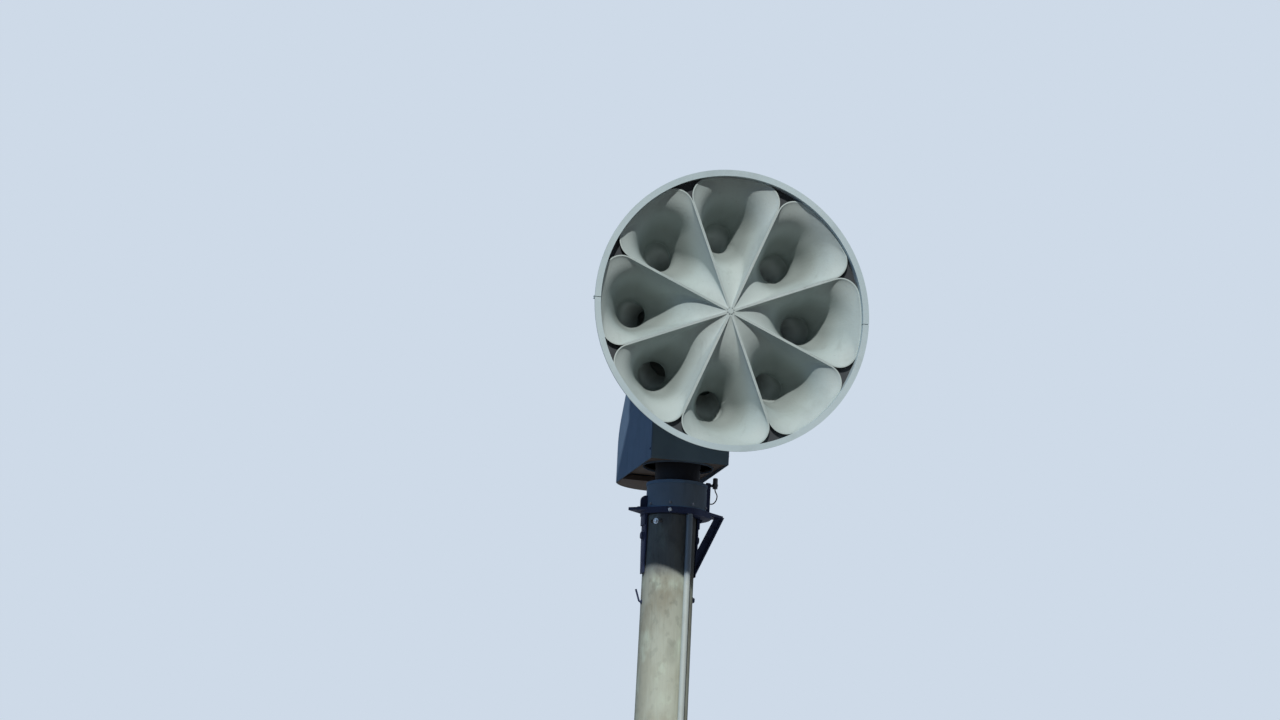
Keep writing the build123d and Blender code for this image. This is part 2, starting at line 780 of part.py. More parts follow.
def main():
    """Builds every piece and writes one file for each."""
    os.makedirs("parts", exist_ok=True)
    pieces = {
        "pole": make_pole(),
        "base_plate": make_base_plate(),
        "collar_drum": make_collar(),
        "turntable": make_turntable(),
        "web_pan": make_web(),
        "hub_boss": make_hub_boss(),
        "stator_drum": make_stator(),
        "housing_hood": make_hood(),
        "housing_front": make_housing_front(),
        "bottom_pan": make_bottom_pan(),
        "rear_floor": make_rear_floor(),
        "gusset_left": make_gusset(-1, gusset_left_reach, gusset_left_height, gusset_left_round),
        "gusset_right": make_gusset(1, gusset_right_reach, gusset_right_height, gusset_right_round),
        "brace_right": make_brace(),
        "strap_bolt": make_strap_bolt(),
        "through_bolt": make_through_bolt(),
        "hook_bolt": make_hook_bolt(),
        "cable_gland": make_gland(),
        "drip_loop": make_drip_loop(),
        "conduit_straps": make_conduit_straps(),
        "cabinet_body": make_cabinet_body(),
        "cabinet_door": make_cabinet_door(),
        "cabinet_hood": make_cabinet_hood(),
        "rail_bolts": make_rail_bolts(),
    }
    pieces.update(make_petals())
    pieces.update(make_rim())
    pieces.update(make_sides())
    pieces.update(make_straps())
    pieces.update(make_conduit())
    pieces.update(make_rails())
    for name, piece in pieces.items():
        export_step(piece, f"parts/{name}.step")


main()
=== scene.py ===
"""Looks of a civil defense siren tower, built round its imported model. Lengths are metres."""

import json
import logging
import math
from collections.abc import Callable, Iterator
from contextlib import contextmanager
from dataclasses import dataclass, field, replace
from enum import Enum
from functools import cache

import bmesh
import bpy
from mathutils import Matrix, Vector


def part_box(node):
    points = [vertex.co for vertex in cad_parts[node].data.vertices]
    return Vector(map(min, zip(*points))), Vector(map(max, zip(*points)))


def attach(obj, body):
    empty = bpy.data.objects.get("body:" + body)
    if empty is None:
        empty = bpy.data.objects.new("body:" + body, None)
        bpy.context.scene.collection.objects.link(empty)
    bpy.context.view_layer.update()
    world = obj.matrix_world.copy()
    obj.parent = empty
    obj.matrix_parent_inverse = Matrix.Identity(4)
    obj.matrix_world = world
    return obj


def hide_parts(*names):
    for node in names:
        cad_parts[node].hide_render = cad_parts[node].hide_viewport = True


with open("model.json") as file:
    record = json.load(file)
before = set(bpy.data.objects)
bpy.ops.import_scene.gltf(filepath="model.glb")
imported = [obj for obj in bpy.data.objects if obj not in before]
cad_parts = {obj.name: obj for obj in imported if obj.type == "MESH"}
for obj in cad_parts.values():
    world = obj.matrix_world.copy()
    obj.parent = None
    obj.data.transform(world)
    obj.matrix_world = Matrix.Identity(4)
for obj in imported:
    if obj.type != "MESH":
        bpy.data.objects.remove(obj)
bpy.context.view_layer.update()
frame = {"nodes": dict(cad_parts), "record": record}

LOG = logging.getLogger("siren_tower")

Colour = tuple[float, float, float]
Place = tuple[float, float, float]
Piece = bpy.types.Object
Material = bpy.types.Material
Node = bpy.types.Node
NodeTree = bpy.types.NodeTree
Socket = bpy.types.NodeSocket

AXIS_X = 0.022           # axis that the head turns on
HORN_Z = 12.475          # height of the horn axis
RIM_FRONT = -0.712       # Y of the ring's face
POLE_TOP = 11.706
PLATE_TOP = 11.731
COLLAR_TOP = 11.848
GROUND_RADIUS = 0.165    # of the pole, at the ground and at its top
TOP_RADIUS = 0.108
SHADE_LOW = 11.0         # painted light: the sunlit pole is lightened most below this, and not at all above SHADE_TOP
SHADE_TOP = 11.4
PAINTED_SHADOW_LOW = 11.42          # painted shadow of the head: the pole's top is darkened from here up, darkest from the next height on
PAINTED_SHADOW_TOP = 11.48
SHARP = 40.0             # edges that turn more than so many degrees are rounded
SMOOTH = 35.0            # and those that turn less than so many are shaded smooth


class Body(Enum):
    """The two bodies of the tower."""

    TOWER = "tower"
    HEAD = "siren_head"


class Facing(Enum):
    """Which way a face or a fastener looks."""

    FRONT = (0.0, -1.0, 0.0)
    LEFT = (-1.0, 0.0, 0.0)
    RIGHT = (1.0, 0.0, 0.0)
    UP = (0.0, 0.0, 1.0)
    DOWN = (0.0, 0.0, -1.0)


SIDES = (Facing.LEFT, Facing.RIGHT)


def pole_radius(height: float) -> float:
    """Radius of the pole at a height."""
    return GROUND_RADIUS + (TOP_RADIUS - GROUND_RADIUS) * height / POLE_TOP


def direction(azimuth: float, elevation: float = 0.0) -> Vector:
    """Unit vector so many degrees from the front towards the right, and so many above the horizon."""
    turn, lift = math.radians(azimuth), math.radians(elevation)
    return Vector((math.sin(turn) * math.cos(lift), -math.cos(turn) * math.cos(lift), math.sin(lift)))


def corners(node: str) -> list[Vector]:
    """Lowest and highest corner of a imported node."""
    return [Vector(corner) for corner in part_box(node)]


def srgb(*channels: int) -> Colour:
    """Turns an 8 bit display colour, red, green and blue, into linear light."""
    shares = (channel / 255 for channel in channels)
    return tuple(share / 12.92 if share <= 0.04045 else ((share + 0.055) / 1.055) ** 2.4 for share in shares)


class NodeGraph:
    """A short way to lay out the nodes of a material or a group."""

    def __init__(self, tree: NodeTree) -> None:
        """Starts on a node tree."""
        self.tree = tree

    def add(self, kind: str, *values: object, **named: object) -> Node:
        """Adds a node of a kind, named without its ShaderNode prefix, and fills it."""
        return self.fill(self.tree.nodes.new(f"ShaderNode{kind}"), *values, **named)

    def fill(self, node: Node, *values: object, **named: object) -> Node:
        """Sets up a node.

        Args:
            node: The node.
            values: Values or outputs for its inputs, in their order.
            named: Its own settings, in small letters, and values or outputs for its inputs, by their
                names with _ for a space.

        Returns:
            The same node.
        """
        for name, value in named.items():
            if name.islower():
                setattr(node, name, value)
            else:
                self.feed(node.inputs[name.replace("_", " ")], value)
        for socket, value in zip(node.inputs, values):
            self.feed(socket, value)
        return node

    def feed(self, target: Socket, value: object) -> None:
        """Gives an input its value.

        Args:
            target: The input.
            value: A value, a colour, or an output that is linked to it.
        """
        if isinstance(value, Socket):
            self.tree.links.new(value, target)
        else:
            target.default_value = (*value, 1.0) if target.type == "RGBA" else value

    def coordinates(self) -> Socket:
        """Object coordinates."""
        return self.add("TexCoord").outputs["Object"]

    def axis(self, kind: str, name: str) -> Socket:
        """One axis of the Object or the Normal coordinates."""
        return self.add("SeparateXYZ", Vector=self.add("TexCoord").outputs[kind]).outputs[name]

    def stretched(self, vector: Socket, tall: float = 1.0, deep: float = 1.0) -> Socket:
        """A vector with factors on its Z and its Y, below 1 to draw a pattern out that way."""
        return self.add("Mapping", Vector=vector, Scale=(1.0, deep, tall)).outputs["Vector"]

    def noise(self, vector: Socket, scale: float | Socket, detail: float = 6.0, roughness: float = 0.55) -> Socket:
        """Noise over a vector, of a scale in waves per metre."""
        return self.add("TexNoise", Vector=vector, Scale=scale, Detail=detail, Roughness=roughness).outputs["Fac"]

    def ramp(self, value: Socket, low: float, high: float, start: float = 0.0, end: float = 1.0) -> Socket:
        """Maps low to high on start to end, smooth and clamped."""
        return self.add("MapRange", interpolation_type="SMOOTHSTEP", Value=value, From_Min=low, From_Max=high,
                        To_Min=start, To_Max=end).outputs["Result"]

    def math(self, operation: str, first: Socket, second: Socket | float) -> Socket:
        """One step of arithmetic."""
        return self.add("Math", first, second, operation=operation).outputs["Value"]

    def mix(self, share: Socket, first: Socket | Colour, second: Socket | Colour) -> Socket:
        """Mixes two colours.

        Args:
            share: How much of the second.
            first: Colour or output at share 0.
            second: Colour or output at share 1.

        Returns:
            The mixed colour.
        """
        node = self.add("Mix", share, data_type="RGBA")
        for socket, value in zip((item for item in node.inputs if item.type == "RGBA"), (first, second)):
            self.feed(socket, value)
        return next(item for item in node.outputs if item.type == "RGBA")

    def mix_shaders(self, share: Socket, first: Node, second: Node) -> Socket:
        """Mixes the shaders of two nodes."""
        return self.add("MixShader", share, first.outputs[0], second.outputs[0]).outputs[0]

    def bump(self, height: Socket, distance: float | Socket, **under: Socket) -> Socket:
        """Turns a height into a normal, on top of the one that is given as Normal."""
        return self.add("Bump", Height=height, Distance=distance, Strength=1.0, **under).outputs["Normal"]


def new_group(name: str, inputs: tuple[str, ...], outputs: tuple[str, ...]) -> tuple[
        NodeGraph, bpy.types.bpy_prop_collection, Node]:
    """Starts a shader node group. Its Vector and Normal sockets are vectors and the others values.

    Args:
        name: Name of the group.
        inputs: Names of its inputs.
        outputs: Names of its outputs.

    Returns:
        Its graph, its inputs as they are read inside it, and the node that takes its outputs.
    """
    group = bpy.data.node_groups.new(name, "ShaderNodeTree")
    for names, side in ((inputs, "INPUT"), (outputs, "OUTPUT")):
        for socket in names:
            kind = "NodeSocketVector" if socket in ("Vector", "Normal") else "NodeSocketFloat"
            group.interface.new_socket(name=socket, in_out=side, socket_type=kind)
    given = group.nodes.new("NodeGroupInput").outputs
    return NodeGraph(group), given, group.nodes.new("NodeGroupOutput")


@cache
def weathering() -> NodeTree:
    """The group with masks of broad fading, soft blotches, rain streaks and small spots."""
    graph, given, out = new_group("weathering", ("Vector", "Patch Scale", "Streak Scale"),
                                  ("Fade", "Blotches", "Streaks", "Spots"))
    place, scale = given["Vector"], given["Patch Scale"]
    fade = graph.noise(place, graph.math("MULTIPLY", scale, 0.33), 3.0)
    blotches = graph.noise(place, scale, 8.0, 0.6)
    runs = graph.noise(graph.stretched(place, 0.12), given["Streak Scale"], 7.0, 0.6)
    breaks = graph.ramp(graph.noise(place, graph.math("MULTIPLY", scale, 0.6), 3.0), 0.4, 0.62)
    spots = graph.noise(place, graph.math("MULTIPLY", scale, 11.0), 2.0, 0.4)
    graph.fill(out, Fade=graph.ramp(fade, 0.38, 0.66), Blotches=graph.ramp(blotches, 0.48, 0.76),
               Streaks=graph.math("MULTIPLY", graph.ramp(runs, 0.52, 0.8), breaks),
               Spots=graph.ramp(spots, 0.69, 0.76))
    return graph.tree


@cache
def fine_grain() -> NodeTree:
    """The group with fine surface grain as a value and as a normal."""
    graph, given, out = new_group("grain", ("Vector", "Scale", "Depth"), ("Value", "Normal"))
    fine = graph.noise(given["Vector"], given["Scale"], 4.0)
    wide = graph.noise(given["Vector"], graph.math("DIVIDE", given["Scale"], 7.0), 3.0)
    height = graph.math("ADD", graph.math("MULTIPLY", fine, 0.35), wide)
    graph.fill(out, Value=fine, Normal=graph.bump(height, given["Depth"]))
    return graph.tree


def new_material(name: str) -> tuple[Material, NodeGraph, Node]:
    """Starts a material.

    Args:
        name: Name of the material.

    Returns:
        The material, its graph and its Principled BSDF.
    """
    material = bpy.data.materials.new(name)
    material.use_nodes = True
    return material, NodeGraph(material.node_tree), material.node_tree.nodes["Principled BSDF"]


@dataclass(frozen=True)
class PaintFinish:
    """Weathered paint on metal or moulded sheet, with dirt in patches, runs and specks, and painted shade and
    painted light by depth where given.
    """

    name: str
    colour: Colour  # clean paint
    grime: Colour  # colour of the dirt
    fade: Colour  # colour of the sun faded paint
    grime_share: float = 0.3  # how much of the surface the dirt takes, 0 to 1
    roughness: float = 0.5  # middle roughness
    grain: float = 0.0004  # depth of the surface grain
    patch_scale: float = 7.0  # blotches per metre
    streak_scale: float = 22.0  # runs per metre
    brushed: float = 0.0  # depth of the faint brush lines
    specular: float = 0.25  # strength of its gloss
    # painted shade and painted light by depth: Y where a tone starts and where it is full, and the tone, on faces
    # turned to the front
    painted_shade_and_light_by_depth: tuple[tuple[float, float, Colour], ...] = ()

    def build(self) -> Material:
        """Makes the material."""
        material, graph, shader = new_material(self.name)
        place = graph.coordinates()
        worn = graph.add("Group", node_tree=weathering(), Vector=place, Patch_Scale=self.patch_scale,
                         Streak_Scale=self.streak_scale).outputs
        dirt = graph.math("MAXIMUM", worn["Streaks"], graph.math("MULTIPLY", worn["Blotches"], 0.7))
        dirt = graph.math("MAXIMUM", dirt, graph.math("MULTIPLY", worn["Spots"], 0.5))
        base = graph.mix(worn["Fade"], self.colour, self.fade)
        base = graph.mix(graph.math("MULTIPLY", dirt, self.grime_share), base, self.grime)
        # painted shade and painted light: tones by depth on faces turned to the front, as in the horn's throats
        for start, end, tone in self.painted_shade_and_light_by_depth:
            deep = graph.ramp(graph.axis("Object", "Y"), start, end)
            turned = graph.ramp(graph.axis("Normal", "Y"), 0.06, -0.04)
            base = graph.mix(graph.math("MULTIPLY", deep, turned), base, tone)
        grain = graph.add("Group", node_tree=fine_grain(), Vector=place, Scale=240.0, Depth=self.grain).outputs
        rough = graph.ramp(grain["Value"], 0.2, 0.8, self.roughness - 0.08, self.roughness + 0.1)
        rough = graph.math("ADD", rough, graph.math("MULTIPLY", dirt, 0.12))
        normal = grain["Normal"]
        if self.brushed:
            lines = graph.noise(graph.stretched(place, deep=0.1), 120.0, 3.0, 0.5)
            normal = graph.bump(lines, self.brushed, Normal=normal)
        graph.fill(shader, Base_Color=base, Roughness=rough, Normal=normal, Specular_IOR_Level=self.specular)
        return material


@dataclass(frozen=True)
class WoodFinish:
    """Weathered pole timber with long grain, checks, knots, stains and pale patches."""

    name: str
    colour: Colour  # middle tone of the timber
    dark: Colour  # tone in the low grain
    pale: Colour  # tone of the bleached patches
    stain: Colour  # tone of the broad stains
    crack: Colour  # colour inside the checks
    painted_sunlit_tone: Colour  # painted light: lighter tone mixed into the sunlit pole below the head's shadow
    painted_shadow_tone: Colour  # painted shadow: darker tone of the pole's top, in the head's shadow

    def build(self) -> Material:
        """Makes the material."""
        material, graph, shader = new_material(self.name)
        place, height = graph.coordinates(), graph.axis("Object", "Z")
        drift = graph.add("TexNoise", Vector=graph.stretched(place, 0.4), Scale=1.6)
        bent = graph.add("VectorMath", drift.outputs["Color"], (0.05, 0.05, 0.0), place,
                         operation="MULTIPLY_ADD").outputs["Vector"]
        grain = graph.noise(graph.stretched(bent, 0.035), 85.0, 8.0, 0.6)
        fibre = graph.noise(graph.stretched(bent, 0.02), 240.0, 3.0, 0.6)
        broad = graph.noise(graph.stretched(place, 0.5), 13.0, 3.0, 0.5)
        patches = graph.noise(graph.stretched(place, 0.55), 16.0, 5.0, 0.55)
        mottle = graph.noise(graph.stretched(place, 0.7), 34.0, 3.0, 0.5)
        checks = graph.noise(graph.stretched(bent, 0.012), 24.0, 4.0, 0.45)
        broken = graph.ramp(graph.noise(graph.stretched(place, 0.6), 4.0, 2.0), 0.5, 0.6)
        check = graph.math("MULTIPLY", graph.ramp(checks, 0.31, 0.28), broken)
        knots = graph.add("TexVoronoi", Vector=graph.stretched(place, 0.55), Scale=2.6, Randomness=1.0)
        knot = graph.ramp(knots.outputs["Distance"], 0.1, 0.045)
        base = self.colour
        for share, tone in ((graph.ramp(broad, 0.36, 0.66), self.stain),
                            (graph.ramp(patches, 0.5, 0.72, 0.0, 0.8), self.pale),
                            (graph.ramp(grain, 0.46, 0.34, 0.0, 0.22), self.dark),
                            (graph.ramp(fibre, 0.5, 0.36, 0.0, 0.15), self.dark),
                            (graph.ramp(mottle, 0.46, 0.34, 0.0, 0.35), self.dark),
                            (graph.math("MULTIPLY", check, 0.85), self.crack),
                            (graph.math("MULTIPLY", knot, 0.25), self.crack),
                            # painted light low on the pole, and painted shadow on its top under the head
                            (graph.ramp(height, SHADE_TOP, SHADE_LOW, 0.0, 0.3), self.painted_sunlit_tone),
                            (graph.ramp(height, PAINTED_SHADOW_LOW, PAINTED_SHADOW_TOP, 0.0, 0.6), self.painted_shadow_tone)):
            base = graph.mix(share, base, tone)
        relief = graph.math("ADD", graph.math("MULTIPLY", grain, 0.5), graph.math("MULTIPLY", fibre, 0.2))
        for mask, depth in ((check, 1.4), (knot, 0.5)):
            relief = graph.math("SUBTRACT", relief, graph.math("MULTIPLY", mask, depth))
        graph.fill(shader, Base_Color=base, Roughness=graph.ramp(grain, 0.3, 0.7, 0.95, 0.85),
                   Specular_IOR_Level=0.12, Normal=graph.bump(relief, 0.0035))
        return material


@dataclass(frozen=True)
class SteelFinish:
    """Old galvanized or painted steel with rust in its low places."""

    name: str
    colour: Colour  # middle tone of the metal or its coat
    rust: Colour  # colour of the rust
    rust_share: float  # how much of it shows, 0 to 1
    metallic: float  # metal share of the clean surface
    roughness: float  # lowest roughness
    spangle: float = 0.0  # scale of the zinc flakes per metre, 0 for none

    def build(self) -> Material:
        """Makes the material."""
        material, graph, shader = new_material(self.name)
        place = graph.coordinates()
        worn = graph.add("Group", node_tree=weathering(), Vector=place, Patch_Scale=24.0, Streak_Scale=60.0).outputs
        light = tuple(min(1.0, part * 1.35) for part in self.colour)
        tone = graph.mix(worn["Fade"], self.colour, light)
        if self.spangle:
            flakes = graph.add("TexVoronoi", Vector=place, Scale=self.spangle).outputs["Color"]
            shade = graph.add("SeparateColor", Color=flakes).outputs["Red"]
            tone = graph.mix(graph.math("MULTIPLY", shade, 0.35), tone, light)
        rusty = graph.math("MAXIMUM", worn["Blotches"], worn["Streaks"])
        base = graph.mix(graph.math("MULTIPLY", rusty, self.rust_share), tone, self.rust)
        grain = graph.add("Group", node_tree=fine_grain(), Vector=place, Scale=420.0, Depth=0.0005).outputs
        rough = graph.math("ADD", graph.math("MULTIPLY", grain["Value"], 0.2), self.roughness - 0.1)
        rough = graph.math("ADD", rough, graph.math("MULTIPLY", rusty, 0.2))
        graph.fill(shader, Base_Color=base, Metallic=graph.ramp(rusty, 0.0, 0.8, self.metallic, 0.0),
                   Roughness=rough, Normal=grain["Normal"], Specular_IOR_Level=0.3)
        return material


@dataclass(frozen=True)
class PlasticFinish:
    """Plain plastic or rubber with dust on it, and painted shadow on its top where given."""

    name: str
    colour: Colour  # clean plastic
    dust: Colour  # colour of the dust
    dust_share: float  # how much of it shows, 0 to 1
    roughness: float  # lowest roughness
    painted_shadow_under_head: Colour | None = None  # painted shadow: darker tone of its part under the head, in the head's shadow, if it has one

    def build(self) -> Material:
        """Makes the material."""
        material, graph, shader = new_material(self.name)
        place = graph.coordinates()
        worn = graph.add("Group", node_tree=weathering(), Vector=place, Patch_Scale=16.0, Streak_Scale=45.0).outputs
        dust = graph.math("MAXIMUM", worn["Blotches"], worn["Streaks"])
        base = graph.mix(graph.math("MULTIPLY", dust, self.dust_share), self.colour, self.dust)
        # painted shadow on the part under the head
        if self.painted_shadow_under_head:
            base = graph.mix(graph.ramp(graph.axis("Object", "Z"), SHADE_TOP, PAINTED_SHADOW_TOP, 0.0, 0.8), base, self.painted_shadow_under_head)
        grain = graph.add("Group", node_tree=fine_grain(), Vector=place, Scale=500.0, Depth=0.0002).outputs
        rough = graph.ramp(dust, 0.0, 1.0, self.roughness, self.roughness + 0.25)
        graph.fill(shader, Base_Color=base, Roughness=rough, Normal=grain["Normal"])
        return material


Finish = PaintFinish | WoodFinish | SteelFinish | PlasticFinish

HORN_PAINT = PaintFinish("horn_paint", srgb(174, 188, 187), srgb(112, 118, 112), srgb(183, 195, 194), 0.32, 0.55,
                         patch_scale=6.0, streak_scale=18.0, brushed=0.0006, specular=0.35)
# the petals are painted darker at middle depth as painted shade, and lighter deep in their throats as painted light
PETAL_PAINTED_SHADE_AND_LIGHT = replace(HORN_PAINT, name="petal_painted_shade_and_light", painted_shade_and_light_by_depth=(
    (-0.62, -0.5, srgb(146, 156, 154)), (-0.4, -0.36, srgb(206, 214, 213))))
# a bluer copy of the horn paint on the ring: painted blue sky light
RIM_PAINTED_SKY_LIGHT = replace(HORN_PAINT, name="rim_painted_sky_light", colour=srgb(176, 194, 200), fade=srgb(186, 203, 208))
# near black on the neck between housing and collar: painted shade
NECK_PAINTED_SHADE = PaintFinish("neck_painted_shade", srgb(34, 36, 42), srgb(20, 20, 22), srgb(42, 44, 50), 0.6, 0.7,
                         specular=0.15)
HOUSING_PAINT = PaintFinish("housing_paint", srgb(112, 137, 164), srgb(92, 107, 120), srgb(121, 147, 175), 0.35,
                            0.75, specular=0.08)
# a lighter, warmer copy of the housing paint on its front panel: painted light on the face in the horn's shade
HOUSING_FRONT_PAINTED_LIGHT = replace(HOUSING_PAINT, name="housing_front_painted_light", colour=srgb(120, 142, 154), fade=srgb(128, 151, 163))
COLLAR_PAINT = replace(HOUSING_PAINT, name="collar_paint", colour=srgb(122, 140, 158), fade=srgb(130, 148, 167))
# brownish paint of the pan and the rear floor under the housing
BROWNISH_UNDERSIDE_PAINT = PaintFinish("brownish_underside_paint", srgb(92, 84, 80), srgb(120, 104, 92), srgb(98, 90, 86), 0.6, 0.75,
                          patch_scale=12.0)
# dark grey on the webs behind the petals' corners: painted shade of their deep narrow recesses
WEB_PAINTED_SHADE = PaintFinish("web_painted_shade", srgb(62, 66, 70), srgb(44, 46, 48), srgb(68, 72, 76), 0.5, 0.7)
CABINET_PAINT = PaintFinish("cabinet_paint", srgb(152, 160, 160), srgb(110, 110, 100), srgb(162, 170, 170), 0.3,
                            0.45)
MOUNT_STEEL = SteelFinish("mount_steel", srgb(34, 44, 72), srgb(70, 54, 46), 0.2, 0.08, 0.72)
DULL_BOLT = SteelFinish("dull_bolt", srgb(118, 122, 130), srgb(96, 72, 56), 0.3, 0.3, 0.5)
BOLT_STEEL = SteelFinish("bolt_steel", srgb(172, 178, 184), srgb(110, 78, 56), 0.25, 0.5, 0.4)
# the pole's last two tones are painted light and painted shadow
POLE_WOOD = WoodFinish("pole_wood", srgb(170, 176, 165), dark=srgb(118, 122, 114), pale=srgb(186, 200, 186),
                       stain=srgb(150, 150, 136), crack=srgb(56, 56, 52), painted_sunlit_tone=srgb(220, 230, 214),
                       painted_shadow_tone=srgb(70, 80, 96))
# its last colour is painted shadow on its top, under the head
CONDUIT_PLASTIC = PlasticFinish("conduit_plastic", srgb(184, 195, 193), srgb(150, 152, 142), 0.35, 0.5,
                                srgb(66, 86, 110))
CONDUIT_STEEL = SteelFinish("conduit_steel", srgb(138, 142, 146), srgb(110, 84, 62), 0.2, 0.8, 0.4, spangle=180.0)
CABLE_RUBBER = PlasticFinish("cable_rubber", srgb(18, 20, 24), srgb(60, 60, 58), 0.2, 0.6)
GLAND_PLASTIC = PlasticFinish("gland_plastic", srgb(26, 30, 42), srgb(70, 70, 70), 0.2, 0.5)
GASKET_RUBBER = PlasticFinish("gasket_rubber", srgb(30, 30, 32), srgb(84, 82, 76), 0.3, 0.7)

SLOT_FINISHES = {
    "conduit_metal": CONDUIT_STEEL,
    **{finish.name: finish for finish in (HORN_PAINT, HOUSING_PAINT, POLE_WOOD, MOUNT_STEEL, CONDUIT_PLASTIC,
                                          CABLE_RUBBER, GLAND_PLASTIC, CABINET_PAINT)},
}
NODE_FINISHES = {
    "web_pan": WEB_PAINTED_SHADE,
    "housing_front": HOUSING_FRONT_PAINTED_LIGHT,
    "collar_drum": COLLAR_PAINT,
    "turntable": NECK_PAINTED_SHADE,
    "rim_upper": RIM_PAINTED_SKY_LIGHT,
    "rim_lower": RIM_PAINTED_SKY_LIGHT,
    "bottom_pan": BROWNISH_UNDERSIDE_PAINT,
    "rear_floor": BROWNISH_UNDERSIDE_PAINT,
    **{f"petal_horn_{number}": PETAL_PAINTED_SHADE_AND_LIGHT for number in range(1, 9)},
}


@dataclass
class Wardrobe:
    """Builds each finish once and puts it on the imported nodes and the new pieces."""

    built: dict[str, Material] = field(default_factory=dict)  # the materials so far, by name

    def wear(self, piece: Piece, finish: Finish) -> None:
        """Puts a finish on a piece.

        Args:
            piece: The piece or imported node.
            finish: Its finish, built the first time.
        """
        if finish.name not in self.built:
            self.built[finish.name] = finish.build()
        piece.data.materials.clear()
        piece.data.materials.append(self.built[finish.name])

    def dress_nodes(self) -> None:
        """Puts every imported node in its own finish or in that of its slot."""
        for part in frame["record"]["subparts"]:
            finish = NODE_FINISHES.get(part["node"], SLOT_FINISHES[part["material_slot"]])
            self.wear(frame["nodes"][part["node"]], finish)
            LOG.info("dressed %s", part["node"])


@dataclass(frozen=True)
class Sun:
    """A distant lamp."""

    name: str
    azimuth: float  # direction round the tower, degrees
    elevation: float  # height angle, degrees
    strength: float  # light on a surface that faces it
    softness: float  # width of the lamp in the sky, degrees
    colour: Colour

    def build(self) -> None:
        """Makes the lamp."""
        lamp = bpy.data.lights.new(self.name, "SUN")
        lamp.energy, lamp.angle, lamp.color = self.strength, math.radians(self.softness), self.colour
        holder = bpy.data.objects.new(self.name, lamp)
        holder.rotation_mode = "QUATERNION"
        holder.rotation_quaternion = direction(self.azimuth, self.elevation).to_track_quat("Z", "Y")
        bpy.context.scene.collection.objects.link(holder)


@dataclass
class Studio:
    """Camera, lamps, world and floor."""

    target: Vector  # where the horn's dividers cross
    azimuth: float = -15.8  # camera's direction round the tower, degrees
    elevation: float = -11.0  # camera's height angle, degrees
    roll: float = 2.8  # clockwise turn of the picture, degrees
    distance: float = 57.0  # camera to target
    focal_pixels: float = 13600.0  # focal length in pixels of the photograph
    target_right: float = 92.4  # pixels from the picture's middle to the target, to the right
    target_up: float = 49.6  # the same, upwards
    picture_width: float = 1280.0  # width of the photograph, pixels
    sensor_width: float = 36.0  # width of the camera's sensor, millimetres
    fill: float = 0.07  # strength of the light from all round
    bounce: float = 0.075  # how bright the floor is to the light that it throws up
    floor_size: float = 1600.0  # side of the floor
    # the lamps
    suns: tuple[Sun, ...] = (
        Sun("key", -20.0, 36.1, 2.95, 1.2, (1.0, 0.98, 0.94)),
        Sun("side_light", -75.0, 8.0, 0.36, 25.0, (0.24, 0.55, 1.0)),
        Sun("rim_light", 60.0, 30.0, 0.08, 20.0, (0.9, 0.95, 1.0)),
        Sun("back_light", 160.0, 30.0, 0.3, 20.0, (1.0, 1.0, 1.0)),
    )

    def build_camera(self) -> None:
        """Makes the camera at the photograph's angle."""
        back = direction(self.azimuth, self.elevation)
        right = Vector((0, 0, 1)).cross(back).normalized()
        up = back.cross(right)
        roll = Matrix.Rotation(math.radians(self.roll), 3, back)
        right, up = roll @ right, roll @ up
        data = bpy.data.cameras.new("camera")
        data.sensor_width = self.sensor_width
        data.lens = self.focal_pixels * self.sensor_width / self.picture_width
        data.clip_end = 10 * self.distance
        camera = bpy.data.objects.new("camera", data)
        bpy.context.scene.collection.objects.link(camera)
        per_pixel = self.distance / self.focal_pixels
        place = self.target + back * self.distance
        place -= right * self.target_right * per_pixel + up * self.target_up * per_pixel
        axes = Matrix((right, up, back)).transposed()
        camera.matrix_world = Matrix.Translation(place) @ axes.to_4x4()
        bpy.context.scene.camera = camera

    def seen_rays(self, graph: NodeGraph) -> Socket:
        """1 for the rays that show a background as it is, to the camera, in gloss and through glass."""
        shown = [graph.add("LightPath").outputs[f"Is {kind} Ray"] for kind in ("Camera", "Glossy", "Transmission")]
        return graph.math("MAXIMUM", graph.math("MAXIMUM", shown[0], shown[1]), shown[2])

    def build_world(self) -> None:
        """Soft light from all round, and a plain pale background for the camera."""
        world = bpy.data.worlds.new("studio")
        world.use_nodes = True
        bpy.context.scene.world = world
        graph = NodeGraph(world.node_tree)
        graph.tree.nodes.clear()
        soft = graph.add("Background", Color=srgb(178, 208, 250), Strength=self.fill)
        plain = graph.add("Background", Color=srgb(206, 218, 232))
        graph.add("OutputWorld", Surface=graph.mix_shaders(self.seen_rays(graph), soft, plain))

    def build_floor(self) -> None:
        """Plain pale floor at ground level, which doesn't show from below."""
        floor = primitive("floor", bpy.ops.mesh.primitive_plane_add, size=self.floor_size)
        material, graph, shader = new_material("floor")
        dim = (1.25 * self.bounce, self.bounce, 0.8 * self.bounce)
        graph.fill(shader, Base_Color=graph.mix(self.seen_rays(graph), dim, srgb(238, 244, 250)), Roughness=0.9)
        below = graph.add("NewGeometry").outputs["Backfacing"]
        both = graph.mix_shaders(below, shader, graph.add("BsdfTransparent"))
        graph.fill(graph.tree.nodes["Material Output"], Surface=both)
        floor.data.materials.append(material)

    def build(self) -> None:
        """Builds the whole studio."""
        self.build_camera()
        self.build_world()
        self.build_floor()
        for sun in self.suns:
            sun.build()
        bpy.context.scene.view_settings.view_transform = "Standard"
        LOG.info("studio is ready")


def select(*pieces: Piece) -> None:
    """Selects pieces and nothing else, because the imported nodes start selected.

    Args:
        pieces: The pieces, the first of which becomes the active one.
    """
    bpy.ops.object.select_all(action="DESELECT")
    for piece in pieces:
        piece.select_set(True)
    if pieces:
        bpy.context.view_layer.objects.active = pieces[0]


